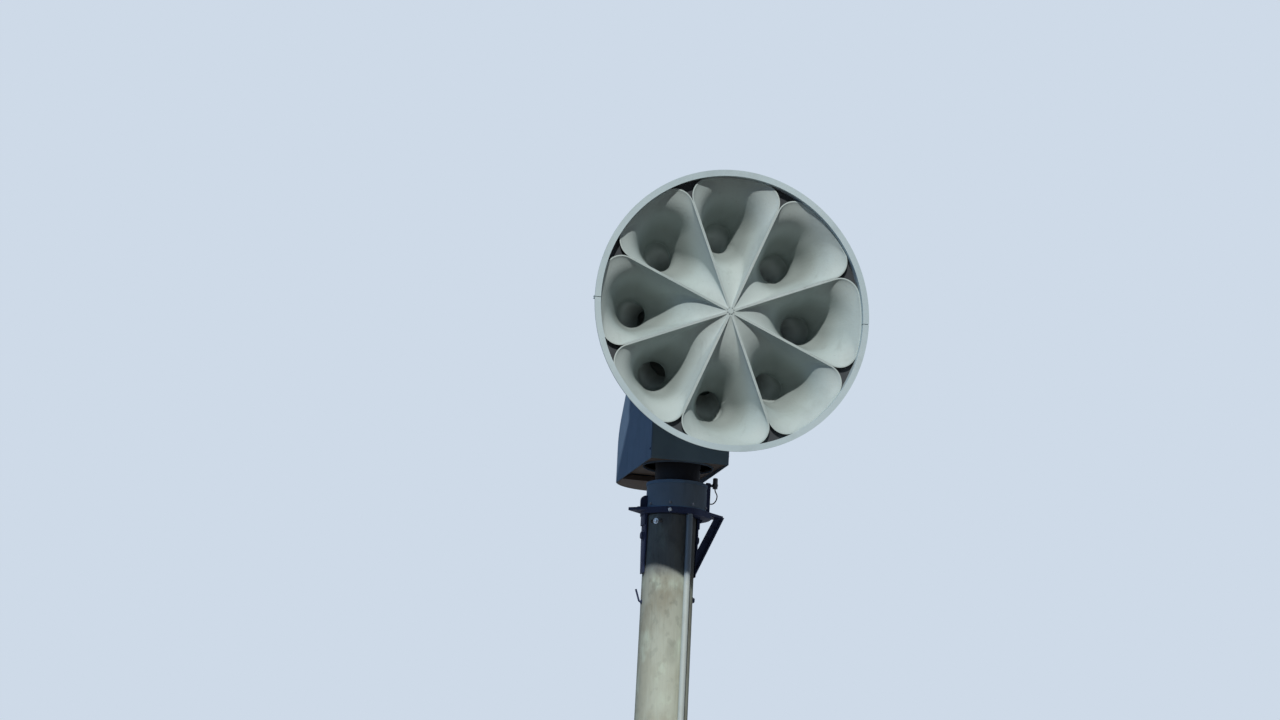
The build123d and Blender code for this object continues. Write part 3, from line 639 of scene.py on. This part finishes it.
@contextmanager
def editing(piece: Piece, select_all: bool = False) -> Iterator[None]:
    """Edit mode on one piece.

    Args:
        piece: The piece.
        select_all: Starts with all of it selected, or with nothing.

    Yields:
        Nothing, while edit mode is on.
    """
    select(piece)
    bpy.ops.object.mode_set(mode="EDIT")
    bpy.ops.mesh.select_mode(type="FACE")
    bpy.ops.mesh.select_all(action="SELECT" if select_all else "DESELECT")
    yield
    bpy.ops.object.mode_set(mode="OBJECT")


def pick_faces(piece: Piece, way: Facing, above: float = -math.inf) -> None:
    """Selects the faces in edit mode that look one way, and nothing else.

    Args:
        piece: The piece that is being edited.
        way: Where they look.
        above: Height that their middles are above.
    """
    bpy.ops.mesh.select_all(action="DESELECT")
    for face in bmesh.from_edit_mesh(piece.data).faces:
        face.select_set(face.normal.dot(Vector(way.value)) > 0.9 and face.calc_center_median().z > above)
    bmesh.update_edit_mesh(piece.data)


def extrude(x: float, y: float, z: float) -> None:
    """Extrudes the selected faces by a move."""
    bpy.ops.mesh.extrude_region_move(TRANSFORM_OT_translate={"value": (x, y, z)})


def soften(piece: Piece, width: float, segments: int = 2) -> Piece:
    """Rounds the sharp edges of a piece.

    Args:
        piece: The piece.
        width: Width of the rounding.
        segments: Faces across it.

    Returns:
        The same piece.
    """
    bevel = piece.modifiers.new("soft_edges", "BEVEL")
    bevel.width, bevel.segments = width, segments
    bevel.limit_method, bevel.angle_limit = "ANGLE", math.radians(SHARP)
    select(piece)
    bpy.ops.object.modifier_apply(modifier=bevel.name)
    return piece


def settle(piece: Piece) -> Piece:
    """Moves a piece's place into its mesh and smooths it.

    Args:
        piece: The piece.

    Returns:
        The same piece.
    """
    select(piece)
    bpy.ops.object.transform_apply(location=True, rotation=True, scale=True)
    bpy.ops.object.shade_smooth_by_angle(angle=math.radians(SMOOTH))
    return piece


def primitive(name: str, kind: Callable[..., set[str]], scale: Place = (1.0, 1.0, 1.0),
              **settings: object) -> Piece:
    """Adds a primitive that is ready to be shaped, with its place and size in its mesh.

    Args:
        name: Name of the piece.
        kind: Operator that adds it.
        scale: Factor along each axis.
        settings: What the operator is told.

    Returns:
        The piece.
    """
    select()
    kind(**settings)
    piece = bpy.context.object
    piece.name, piece.scale = name, scale
    bpy.ops.object.transform_apply(location=True, rotation=True, scale=True)
    return piece


def block(name: str, low: Place, high: Place) -> Piece:
    """A block between its lowest and highest corner."""
    middle, size = zip(*(((a + b) / 2, b - a) for a, b in zip(low, high)))
    return primitive(name, bpy.ops.mesh.primitive_cube_add, size, size=1, location=middle)


def drum(name: str, radius: float, depth: float, sides: int, base: float = 0.0) -> Piece:
    """An upright round bar on the Z axis, with a number of faces round it, from a height upwards."""
    return primitive(name, bpy.ops.mesh.primitive_cylinder_add, vertices=sides, radius=radius, depth=depth,
                     location=(0, 0, base + depth / 2))


def band(name: str, radius: float, width: float, thickness: float, rounding: float, place: Matrix,
         steps: int = 96) -> Piece:
    """A flat band spun round the Z axis and then put in place.

    Args:
        name: Name of the piece.
        radius: Radius of its inner face.
        width: Its width along the axis.
        thickness: Its thickness outwards.
        rounding: Width of its rounded edges.
        place: Where it goes.
        steps: Faces round it.

    Returns:
        The band.
    """
    piece = primitive(name, bpy.ops.mesh.primitive_plane_add, (thickness, width, 1), size=1,
                      location=(radius + thickness / 2, 0, 0), rotation=(math.pi / 2, 0, 0))
    with editing(piece, select_all=True):
        bpy.ops.mesh.delete(type="ONLY_FACE")
        bpy.ops.mesh.select_mode(type="EDGE")
        bpy.ops.mesh.select_all(action="SELECT")
        bpy.ops.mesh.spin(steps=steps, angle=2 * math.pi, center=(0, 0, 0), axis=(0, 0, 1))
        bpy.ops.mesh.select_all(action="SELECT")
        bpy.ops.mesh.remove_doubles(threshold=0.00002)
        bpy.ops.mesh.normals_make_consistent(inside=False)
    piece.matrix_world = place
    return settle(soften(settle(piece), rounding))


def merge(name: str, parts: list[Piece]) -> Piece:
    """Joins parts in one piece.

    Args:
        name: Name of the piece.
        parts: Its parts.

    Returns:
        The piece.
    """
    select(*parts)
    bpy.ops.object.join()
    parts[0].name = name
    return parts[0]


def stand(place: Place | Vector, way: Facing | Vector, turn: float = 0.0) -> Matrix:
    """Where a copy of an upright model goes.

    Args:
        place: Where its foot goes.
        way: Where its top points.
        turn: Turn about its own axis, degrees.

    Returns:
        The copy's matrix.
    """
    top = Vector(way.value) if isinstance(way, Facing) else way
    lean = top.to_track_quat("Z", "Y").to_matrix().to_4x4()
    return Matrix.Translation(place) @ lean @ Matrix.Rotation(math.radians(turn), 4, "Z")


def stand_round(x: float, radius: float, angle: float, z: float, turn: float = 0.0) -> Matrix:
    """Where a model stands out from an upright axis at x, at an angle from the front to the right."""
    out = direction(angle)
    return stand(Vector((x, 0, z)) + out * radius, out, turn)


def copies(model: Piece, name: str, places: list[Matrix]) -> Piece:
    """Copies a model to its places, each copy with its own mesh, and joins them as one piece.

    Args:
        model: The model at the origin, which is used up.
        name: Name of the piece.
        places: Where the copies go.

    Returns:
        The piece.
    """
    parts = [model.copy() for _ in places]
    for part, place in zip(parts, places):
        part.data, part.matrix_world = model.data.copy(), place
        bpy.context.scene.collection.objects.link(part)
    bpy.data.objects.remove(model)
    return settle(merge(name, parts))


@dataclass(frozen=True)
class HexBolt:
    """A chamfered hex head or nut on a washer, modelled once at the origin, pointing up."""

    across: float  # width across the flats
    height: float  # height of the head
    washer: float  # washer's diameter
    washer_height: float  # washer's thickness
    stub: float = 0.0  # length of thread that stands out of the nut, 0 for a head

    def build(self) -> Piece:
        """Makes the model."""
        radius = self.across / 2 / math.cos(math.radians(30))
        chamfered = [(drum("bolt_head", radius, self.height, 6, self.washer_height), 0.07, 2)]
        if self.stub:
            thread = drum("bolt_thread", self.across * 0.3, self.stub, 14, self.washer_height + self.height)
            chamfered.append((thread, 0.06, 1))
        for part, share, segments in chamfered:
            with editing(part):
                pick_faces(part, Facing.UP)
                bpy.ops.mesh.bevel(offset=self.across * share, segments=segments, affect="EDGES")
        ring = soften(drum("bolt_washer", self.washer / 2, self.washer_height, 20), self.washer_height * 0.3, 1)
        return merge("bolt_model", [*(part for part, *_ in chamfered), ring])


@dataclass(frozen=True)
class PanScrew:
    """A domed screw head with a driver recess, modelled once at the origin, pointing up."""

    diameter: float
    rise: float  # height of the dome

    def build(self) -> Piece:
        """Makes the model."""
        head = primitive("screw_head", bpy.ops.mesh.primitive_uv_sphere_add, segments=16, ring_count=8,
                         radius=self.diameter / 2)
        with editing(head, select_all=True):
            bpy.ops.mesh.bisect(plane_co=(0, 0, 0), plane_no=(0, 0, 1), use_fill=True, clear_inner=True)
            bpy.ops.mesh.select_all(action="SELECT")
            bpy.ops.transform.resize(value=(1, 1, 2 * self.rise / self.diameter), center_override=(0, 0, 0))
            pick_faces(head, Facing.UP, self.rise * 0.85)
            bpy.ops.mesh.inset(thickness=self.diameter * 0.05, depth=-self.rise * 0.3)
        return head


FRAME_BOLT = HexBolt(0.013, 0.006, 0.02, 0.0015)


@dataclass
class SubAssembly:
    """What every sub-assembly has."""

    wardrobe: Wardrobe  # dresses its pieces
    body: Body = Body.TOWER  # body that they ride on

    def fit(self, piece: Piece, finish: Finish, slot: str = "") -> None:
        """Dresses a finished piece and mounts it.

        Args:
            piece: The piece.
            finish: Its finish.
            slot: Not used.
        """
        slot = slot or finish.name
        self.wardrobe.wear(piece, finish)
        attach(piece, self.body.value)
        LOG.info("fitted %s", piece.name)

    def fasten(self, name: str, model: HexBolt | PanScrew, places: list[Matrix], finish: Finish = BOLT_STEEL,
               slot: str = "mount_steel") -> None:
        """Puts copies of a fastener in their places, as one piece."""
        self.fit(copies(model.build(), name, places), finish, slot)


@dataclass
class DripLoop(SubAssembly):
    """The thin cable that hangs from the gland round to the rib, its route repeated from the source."""

    # control points of its line
    route: tuple[Place, ...] = (
        (0.1895, 0.0, 11.846), (0.1895, 0.0, 11.836), (0.2015, 0.0, 11.819), (0.1975, 0.0, 11.796),
        (0.1855, 0.0, 11.7815), (0.1772, 0.0, 11.779), (0.16896, 0.0, 11.779))
    diameter: float = 0.005  # its thickness
    length: float = 0.088  # its real length

    def build(self) -> None:
        data = bpy.data.curves.new("drip_cable", "CURVE")
        data.dimensions, data.resolution_u = "3D", 10
        data.bevel_depth, data.bevel_resolution = self.diameter / 2, 5
        line = data.splines.new("NURBS")
        line.points.add(len(self.route) - 1)
        for point, place in zip(line.points, self.route):
            point.co = (*place, 1.0)
        line.order_u = 3
        line.use_endpoint_u = True
        cable = bpy.data.objects.new("drip_cable", data)
        bpy.context.scene.collection.objects.link(cable)
        self.fit(cable, CABLE_RUBBER)
        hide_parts("drip_loop")


@dataclass
class HornFittings(SubAssembly):
    """Fasteners, bands and clips of the horn and of the drum behind its petals."""

    body: Body = Body.HEAD
    ear_radius: float = 0.5885  # where the ring's joint bolts stand, out from the horn axis
    ear_back: float = 0.018  # how far they stand behind the ring's face
    ear_half: float = 0.0065  # half of the thickness of the two ears and their gap
    drum_front: float = -0.271  # Y of the drum's front plate
    drum_radius: float = 0.3047
    bolt_radius: float = 0.274  # where the drum's bolts stand
    bolt_spread: float = 5.5  # degrees from a petal's edge to the bolts beside it
    # Y of the drum's bands, where its shell laps its plates
    bands: tuple[tuple[str, float], ...] = (("front", -0.249), ("rear", -0.183))
    clip_leg: float = 0.02  # length of a clip's two legs
    clip_bend: float = 50.0  # how far it is bent, degrees
    clip_radius: float = 0.5792  # where the clips stand, out from the horn axis
    clip_back: float = 0.034  # how far they stand behind the ring's face

    def build(self) -> None:
        """Makes every fitting."""
        self.build_joint_bolts()
        self.build_drum_bolts()
        self.build_drum_bands()
        self.build_clips()

    def build_joint_bolts(self) -> None:
        """Bolts through the ears of the ring's two halves."""
        places = [stand((AXIS_X + side.value[0] * self.ear_radius, RIM_FRONT + self.ear_back,
                         HORN_Z + way.value[2] * self.ear_half), way)
                  for side in SIDES for way in (Facing.UP, Facing.DOWN)]
        self.fasten("rim_joint_bolts", HexBolt(0.013, 0.006, 0.016, 0.0012), places)

    def build_drum_bolts(self) -> None:
        """Bolts on the drum's front plate, two between each pair of petals."""
        places = []
        for index in range(8):
            for side in (-self.bolt_spread, self.bolt_spread):
                turn = math.radians(22.5 + 45 * index + side)
                x, z = AXIS_X + self.bolt_radius * math.sin(turn), HORN_Z + self.bolt_radius * math.cos(turn)
                places.append(stand((x, self.drum_front, z), Facing.FRONT, 17.0 * index))
        self.fasten("drum_bolts", FRAME_BOLT, places)

    def build_drum_bands(self) -> None:
        """Raised bands round the drum."""
        for end, y in self.bands:
            place = stand((AXIS_X, y, HORN_Z), Facing.FRONT)
            self.fit(band(f"drum_band_{end}", self.drum_radius - 0.0005, 0.014, 0.0035, 0.0012, place, 128),
                     HORN_PAINT)

    def build_clips(self) -> None:
        """Bent clips that tie the ring's flange to the back of each petal."""
        leg, bend = self.clip_leg, math.radians(self.clip_bend)
        clip = block("clip", (-0.016, 0.0, 0.0), (0.016, 0.003, leg))
        with editing(clip):
            pick_faces(clip, Facing.UP)
            bpy.ops.mesh.spin(steps=6, angle=bend, center=(0, -0.008, leg), axis=(1, 0, 0))
            extrude(0, -leg * math.sin(bend), leg * math.cos(bend))
        soften(clip, 0.0008)
        middle = Matrix.Translation((AXIS_X, RIM_FRONT + self.clip_back, HORN_Z))
        lie = Matrix(((1, 0, 0, 0), (0, 0, 1, 0), (0, 1, 0, self.clip_radius), (0, 0, 0, 1)))
        turns = [Matrix.Rotation(math.radians(45.0 * index), 4, "Y") for index in range(8)]
        clips = copies(clip, "rim_clips", [middle @ turn @ lie for turn in turns])
        with editing(clips, select_all=True):
            bpy.ops.mesh.normals_make_consistent(inside=False)
        self.fit(clips, BOLT_STEEL, "mount_steel")


@dataclass
class HousingTrim(SubAssembly):
    """Corner strips, screws and covers of the motor housing."""

    body: Body = Body.HEAD
    half_width: float = 0.171  # from the turning axis to the flat sides
    front: float = -0.174  # Y of the front panel
    base: float = HORN_Z - 0.555  # height of its bottom edge
    strip: float = 0.02  # width of the corner strips
    strip_top: float = HORN_Z + 0.19  # height of their upper ends
    proud: float = 0.0008  # how far they stand out of the sides
    screws: int = 6  # number of screws along a strip
    screw_start: float = 0.04  # height of the first above the base
    screw_step: float = 0.139  # distance between two
    lip_radius: float = 0.146  # inner radius of the lip in the bottom pan
    cover_low: tuple[float, float] = (-0.11, HORN_Z - 0.43)  # Y and height of the service cover's lowest corner
    cover_high: tuple[float, float] = (0.16, HORN_Z - 0.17)  # the same for its highest
    cover_margin: float = 0.012  # from the cover's edges to its screws

    def build(self) -> None:
        """Makes every piece of the trim."""
        self.build_corners()
        place = Matrix.Translation((AXIS_X, 0, self.base + 0.003))
        self.fit(band("pan_lip", self.lip_radius, 0.008, 0.004, 0.0015, place), HOUSING_PAINT)
        self.build_service_cover()

    def build_corners(self) -> None:
        """The front panel's turned edges on the sides, and their screws."""
        for side, finish in zip(SIDES, (MOUNT_STEEL, BOLT_STEEL)):
            hand, name = side.value[0], side.name.lower()
            face = AXIS_X + hand * self.half_width
            places = [stand((face + hand * self.proud * 0.9, self.front + self.strip / 2,
                             self.base + self.screw_start + step * self.screw_step), side, 40.0 * step)
                      for step in range(self.screws)]
            self.fasten(f"housing_screws_{name}", PanScrew(0.011, 0.0035), places, finish)
            low, high = sorted((face, face + hand * self.proud))
            strip = block(f"housing_corner_{name}", (low, self.front, self.base),
                          (high, self.front + self.strip, self.strip_top))
            self.fit(settle(soften(strip, 0.0006, 1)), HOUSING_PAINT)

    def build_service_cover(self) -> None:
        """Screwed inspection cover on the right side, over the motor."""
        x = AXIS_X + self.half_width
        low, high = (x - 0.0005, *self.cover_low), (x + 0.003, *self.cover_high)
        cover = block("service_cover", low, high)
        with editing(cover):
            pick_faces(cover, Facing.RIGHT)
            bpy.ops.mesh.inset(thickness=0.024, depth=0)
            bpy.ops.mesh.inset(thickness=0.006, depth=0.0025)
        self.fit(settle(soften(cover, 0.0012)), HOUSING_PAINT)
        margin = self.cover_margin
        places = [stand((high[0] - 0.0003, y, z), Facing.RIGHT, 30.0)
                  for y in (low[1] + margin, (low[1] + high[1]) / 2, high[1] - margin)
                  for z in (low[2] + margin, high[2] - margin)]
        self.fasten("service_cover_screws", PanScrew(0.01, 0.003), places)


@dataclass
class MountHardware(SubAssembly):
    """Straps, bolts, nuts and weld seams of the mounting iron. Angles are degrees from the front to the right."""

    collar_radius: float = 0.1275
    collar_bolt_angle: float = -27.5  # where the first of the collar's eight bolts is
    arm_bolt_x: float = 0.163  # from the turning axis to the bolts on the plate's arms
    nut_x: float = 0.133  # where the nut under the plate's right half is
    edge_bolt_angle: float = -27.0  # where the bolt on the plate's front edge is
    edge_radius: float = 0.1314  # from the turning axis to that edge
    pole_bolt_angle: float = -50.3  # where the bolt through the pole is
    pole_bolt_drop: float = 0.035  # how far it is below the pole's top
    lug_angles: tuple[float, float] = (-11.0, 12.5)  # from that bolt to the two rubber lugs beside it
    strap_face: float = 0.10891  # from the pole's axis to the side straps' inner faces
    strap_thickness: float = 0.008
    strap_width: float = 0.064
    strap_bend: float = 0.126  # how far below the pole's top they bend to its taper
    strap_drop: float = 0.252  # how far below it they end
    pad_height: float = 0.046  # height of the pads at their tops
    pad_thickness: float = 0.005  # thickness of those

    def build(self) -> None:
        """Makes every piece of hardware."""
        self.build_collar_bolts()
        self.build_welds()
        self.build_plate_bolts()
        self.build_pole_bolt()
        for side in SIDES:
            self.build_strap(side)

    def build_collar_bolts(self) -> None:
        """Radial bolts low in the collar's wall."""
        places = [stand_round(AXIS_X, self.collar_radius - 0.0004, self.collar_bolt_angle + 45 * index,
                              PLATE_TOP + 0.018, 11.0 * index) for index in range(8)]
        self.fasten("collar_bolts", HexBolt(0.009, 0.004, 0.012, 0.001), places, DULL_BOLT)

    def build_welds(self) -> None:
        """Weld beads round the collar's foot and lid."""
        for name, z, width in (("collar_foot_weld", PLATE_TOP + 0.003, 0.006),
                               ("collar_top_band", COLLAR_TOP - 0.007, 0.014)):
            place = Matrix.Translation((AXIS_X, 0, z))
            self.fit(band(name, self.collar_radius - 0.0003, width, 0.003, 0.0013, place), HOUSING_PAINT)

    def build_plate_bolts(self) -> None:
        """Bolt heads on the plate's arms, the nut under its right half, and the bright bolt on its front edge."""
        arms = [stand((AXIS_X + side.value[0] * self.arm_bolt_x, 0, PLATE_TOP), Facing.UP, 12.0)
                for side in SIDES]
        self.fasten("arm_bolt_heads", HexBolt(0.013, 0.006, 0.018, 0.0015), arms, MOUNT_STEEL)
        below = stand((self.nut_x, 0.0, POLE_TOP), Facing.DOWN, 40.0)
        self.fasten("plate_nut", HexBolt(0.014, 0.008, 0.018, 0.0015, 0.004), [below], MOUNT_STEEL)
        edge = stand_round(AXIS_X, self.edge_radius, self.edge_bolt_angle, PLATE_TOP - 0.0135, 10.0)
        self.fasten("plate_edge_bolt", HexBolt(0.012, 0.005, 0.017, 0.0014), [edge])

    def build_pole_bolt(self) -> None:
        """The bright bolt through the pole below the plate, and the lugs beside it."""
        z = POLE_TOP - self.pole_bolt_drop
        bolt = stand_round(0, pole_radius(z) - 0.0012, self.pole_bolt_angle, z, 20.0)
        self.fasten("pole_front_bolt", HexBolt(0.014, 0.006, 0.026, 0.003), [bolt])
        lugs = [stand_round(0, pole_radius(z) - 0.002, self.pole_bolt_angle + side, z) for side in self.lug_angles]
        self.fasten("pole_front_lugs", PanScrew(0.018, 0.007), lugs, GASKET_RUBBER)

    def build_strap(self, side: Facing) -> None:
        """A strap on one side, rounded at its corners, whose thin lower half follows the pole's taper.

        Args:
            side: The side.
        """
        name, half, bend = side.name.lower(), self.strap_width / 2, POLE_TOP - self.strap_bend
        inner, outer = self.strap_face, self.strap_face + self.strap_thickness
        strap = block(f"pole_strap_{name}", (inner, -half, bend), (outer, half, POLE_TOP))
        with editing(strap):
            pick_faces(strap, Facing.DOWN)
            flare = pole_radius(POLE_TOP - self.strap_drop) - pole_radius(bend)
            extrude(flare, 0, self.strap_bend - self.strap_drop)
            bpy.ops.transform.resize(value=(0.75, 0.8, 1), center_override=(inner + flare, 0, 0))
        pad = block("strap_pad", (outer, -half, POLE_TOP - self.pad_height),
                    (outer + self.pad_thickness, half, POLE_TOP))
        strap = soften(merge(strap.name, [strap, pad]), 0.0015)
        if side is Facing.LEFT:
            with editing(strap, select_all=True):
                bpy.ops.transform.mirror(constraint_axis=(True, False, False), center_override=(0, 0, 0))
                bpy.ops.mesh.select_all(action="SELECT")
                bpy.ops.mesh.normals_make_consistent(inside=False)
        self.fit(settle(strap), MOUNT_STEEL)
        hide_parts(f"side_strap_{name}")


@dataclass
class ConduitFittings(SubAssembly):
    """Screws of the conduit's straps."""

    angle: float = 24.0  # where the conduit runs, degrees from the front to the right
    straps: int = 8
    start: float = 0.2  # where the first is, as a share of the step between two
    bottom: float = 2.404  # height of the conduit's lower end
    top: float = 11.7057  # height of its upper end
    stand_off: float = 0.01735  # from the pole to the screws
    reach: float = 0.0159  # from the conduit's middle to the ends of its straps
    spread: float = 0.0075  # half of the distance between a strap's two screws

    def build(self) -> None:
        """Makes the screws."""
        out, along = direction(self.angle), direction(self.angle + 90)
        places = []
        for index in range(self.straps):
            z = self.bottom + (self.top - self.bottom) * (index + self.start) / self.straps
            spot = out * (pole_radius(z) + self.stand_off) + along * self.reach
            for side in (-self.spread, self.spread):
                places.append(stand((spot.x, spot.y, z + side), along, 15.0))
        self.fasten("strap_screws", PanScrew(0.007, 0.0022), places, CONDUIT_STEEL, "conduit_metal")


@dataclass
class CabinetTrim(SubAssembly):
    """Louvres, handle plate and bolts of the control cabinet."""

    door_thickness: float = 0.022  # from the door's back to its front
    field_rise: float = 0.004  # how far its raised field stands out
    louvre_columns: tuple[float, float] = (-0.11, 0.11)  # x of the louvres' middles
    louvre_start: float = 0.12  # height of the lowest above the door's lower edge
    louvre_rows: int = 6  # how many stand above each other
    louvre_step: float = 0.03  # distance between two rows
    handle_x: float = 0.26  # where the handle's foot is, to the right of the door's middle
    side_x: float = 0.305  # from the cabinet's middle to its sides

    def build(self) -> None:
        """Makes every piece of the trim."""
        self.build_louvres()
        self.build_handle_plate()
        self.build_side_bolts()

    def build_louvres(self) -> None:
        """Pressed louvres low in the door's raised field."""
        louvre = block("louvre", (-0.09, -0.0002, -0.004), (0.09, 0.0002, 0.012))
        with editing(louvre):
            pick_faces(louvre, Facing.FRONT)
            extrude(0, -0.0085, 0)
            bpy.ops.transform.resize(value=(0.94, 1, 0.5), center_override=(0, 0, -0.004))
        soften(louvre, 0.0012)
        low, high = corners("cabinet_door")
        face = high.y - self.door_thickness - self.field_rise
        places = [Matrix.Translation((x, face, low.z + self.louvre_start + self.louvre_step * row))
                  for x in self.louvre_columns for row in range(self.louvre_rows)]
        self.fit(copies(louvre, "door_louvres", places), CABINET_PAINT)

    def build_handle_plate(self) -> None:
        """Plate round the handle's foot, with its screws."""
        low, high = corners("cabinet_door")
        x, face, middle = self.handle_x, high.y - self.door_thickness, (low.z + high.z) / 2
        plate = block("handle_plate", (x - 0.013, face - 0.0025, middle - 0.05), (x + 0.018, face, middle + 0.05))
        with editing(plate):
            pick_faces(plate, Facing.FRONT)
            bpy.ops.mesh.inset(thickness=0.003, depth=0.0012)
        self.fit(settle(soften(plate, 0.0006)), CONDUIT_STEEL, "cabinet_paint")
        places = [stand((x, face - 0.0035, middle + side), Facing.FRONT, 50.0) for side in (-0.04, 0.04)]
        self.fasten("handle_screws", PanScrew(0.008, 0.0025), places)

    def build_side_bolts(self) -> None:
        """Bolt heads in the cabinet's sides, which hold it to its frame."""
        low, high = corners("cabinet_body")
        places = [stand((side.value[0] * self.side_x, y, z), side, 20.0) for side in SIDES
                  for z in (low.z + 0.15, high.z - 0.15) for y in (high.y - 0.03, high.y - 0.2)]
        self.fasten("cabinet_bolts", FRAME_BOLT, places)


def horn_hub() -> Vector:
    """Where the dividers cross, at the rim's front."""
    low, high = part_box("hub_boss")
    return Vector(((low[0] + high[0]) / 2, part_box("rim_upper")[0][1], (low[2] + high[2]) / 2))


def main() -> None:
    """Builds every piece in order."""
    logging.basicConfig(level=logging.INFO, format="%(name)s %(message)s")
    Studio(horn_hub()).build()
    wardrobe = Wardrobe()
    wardrobe.dress_nodes()
    for assembly in (DripLoop, HornFittings, HousingTrim, MountHardware, ConduitFittings, CabinetTrim):
        assembly(wardrobe).build()


if __name__ == "__main__":
    main()
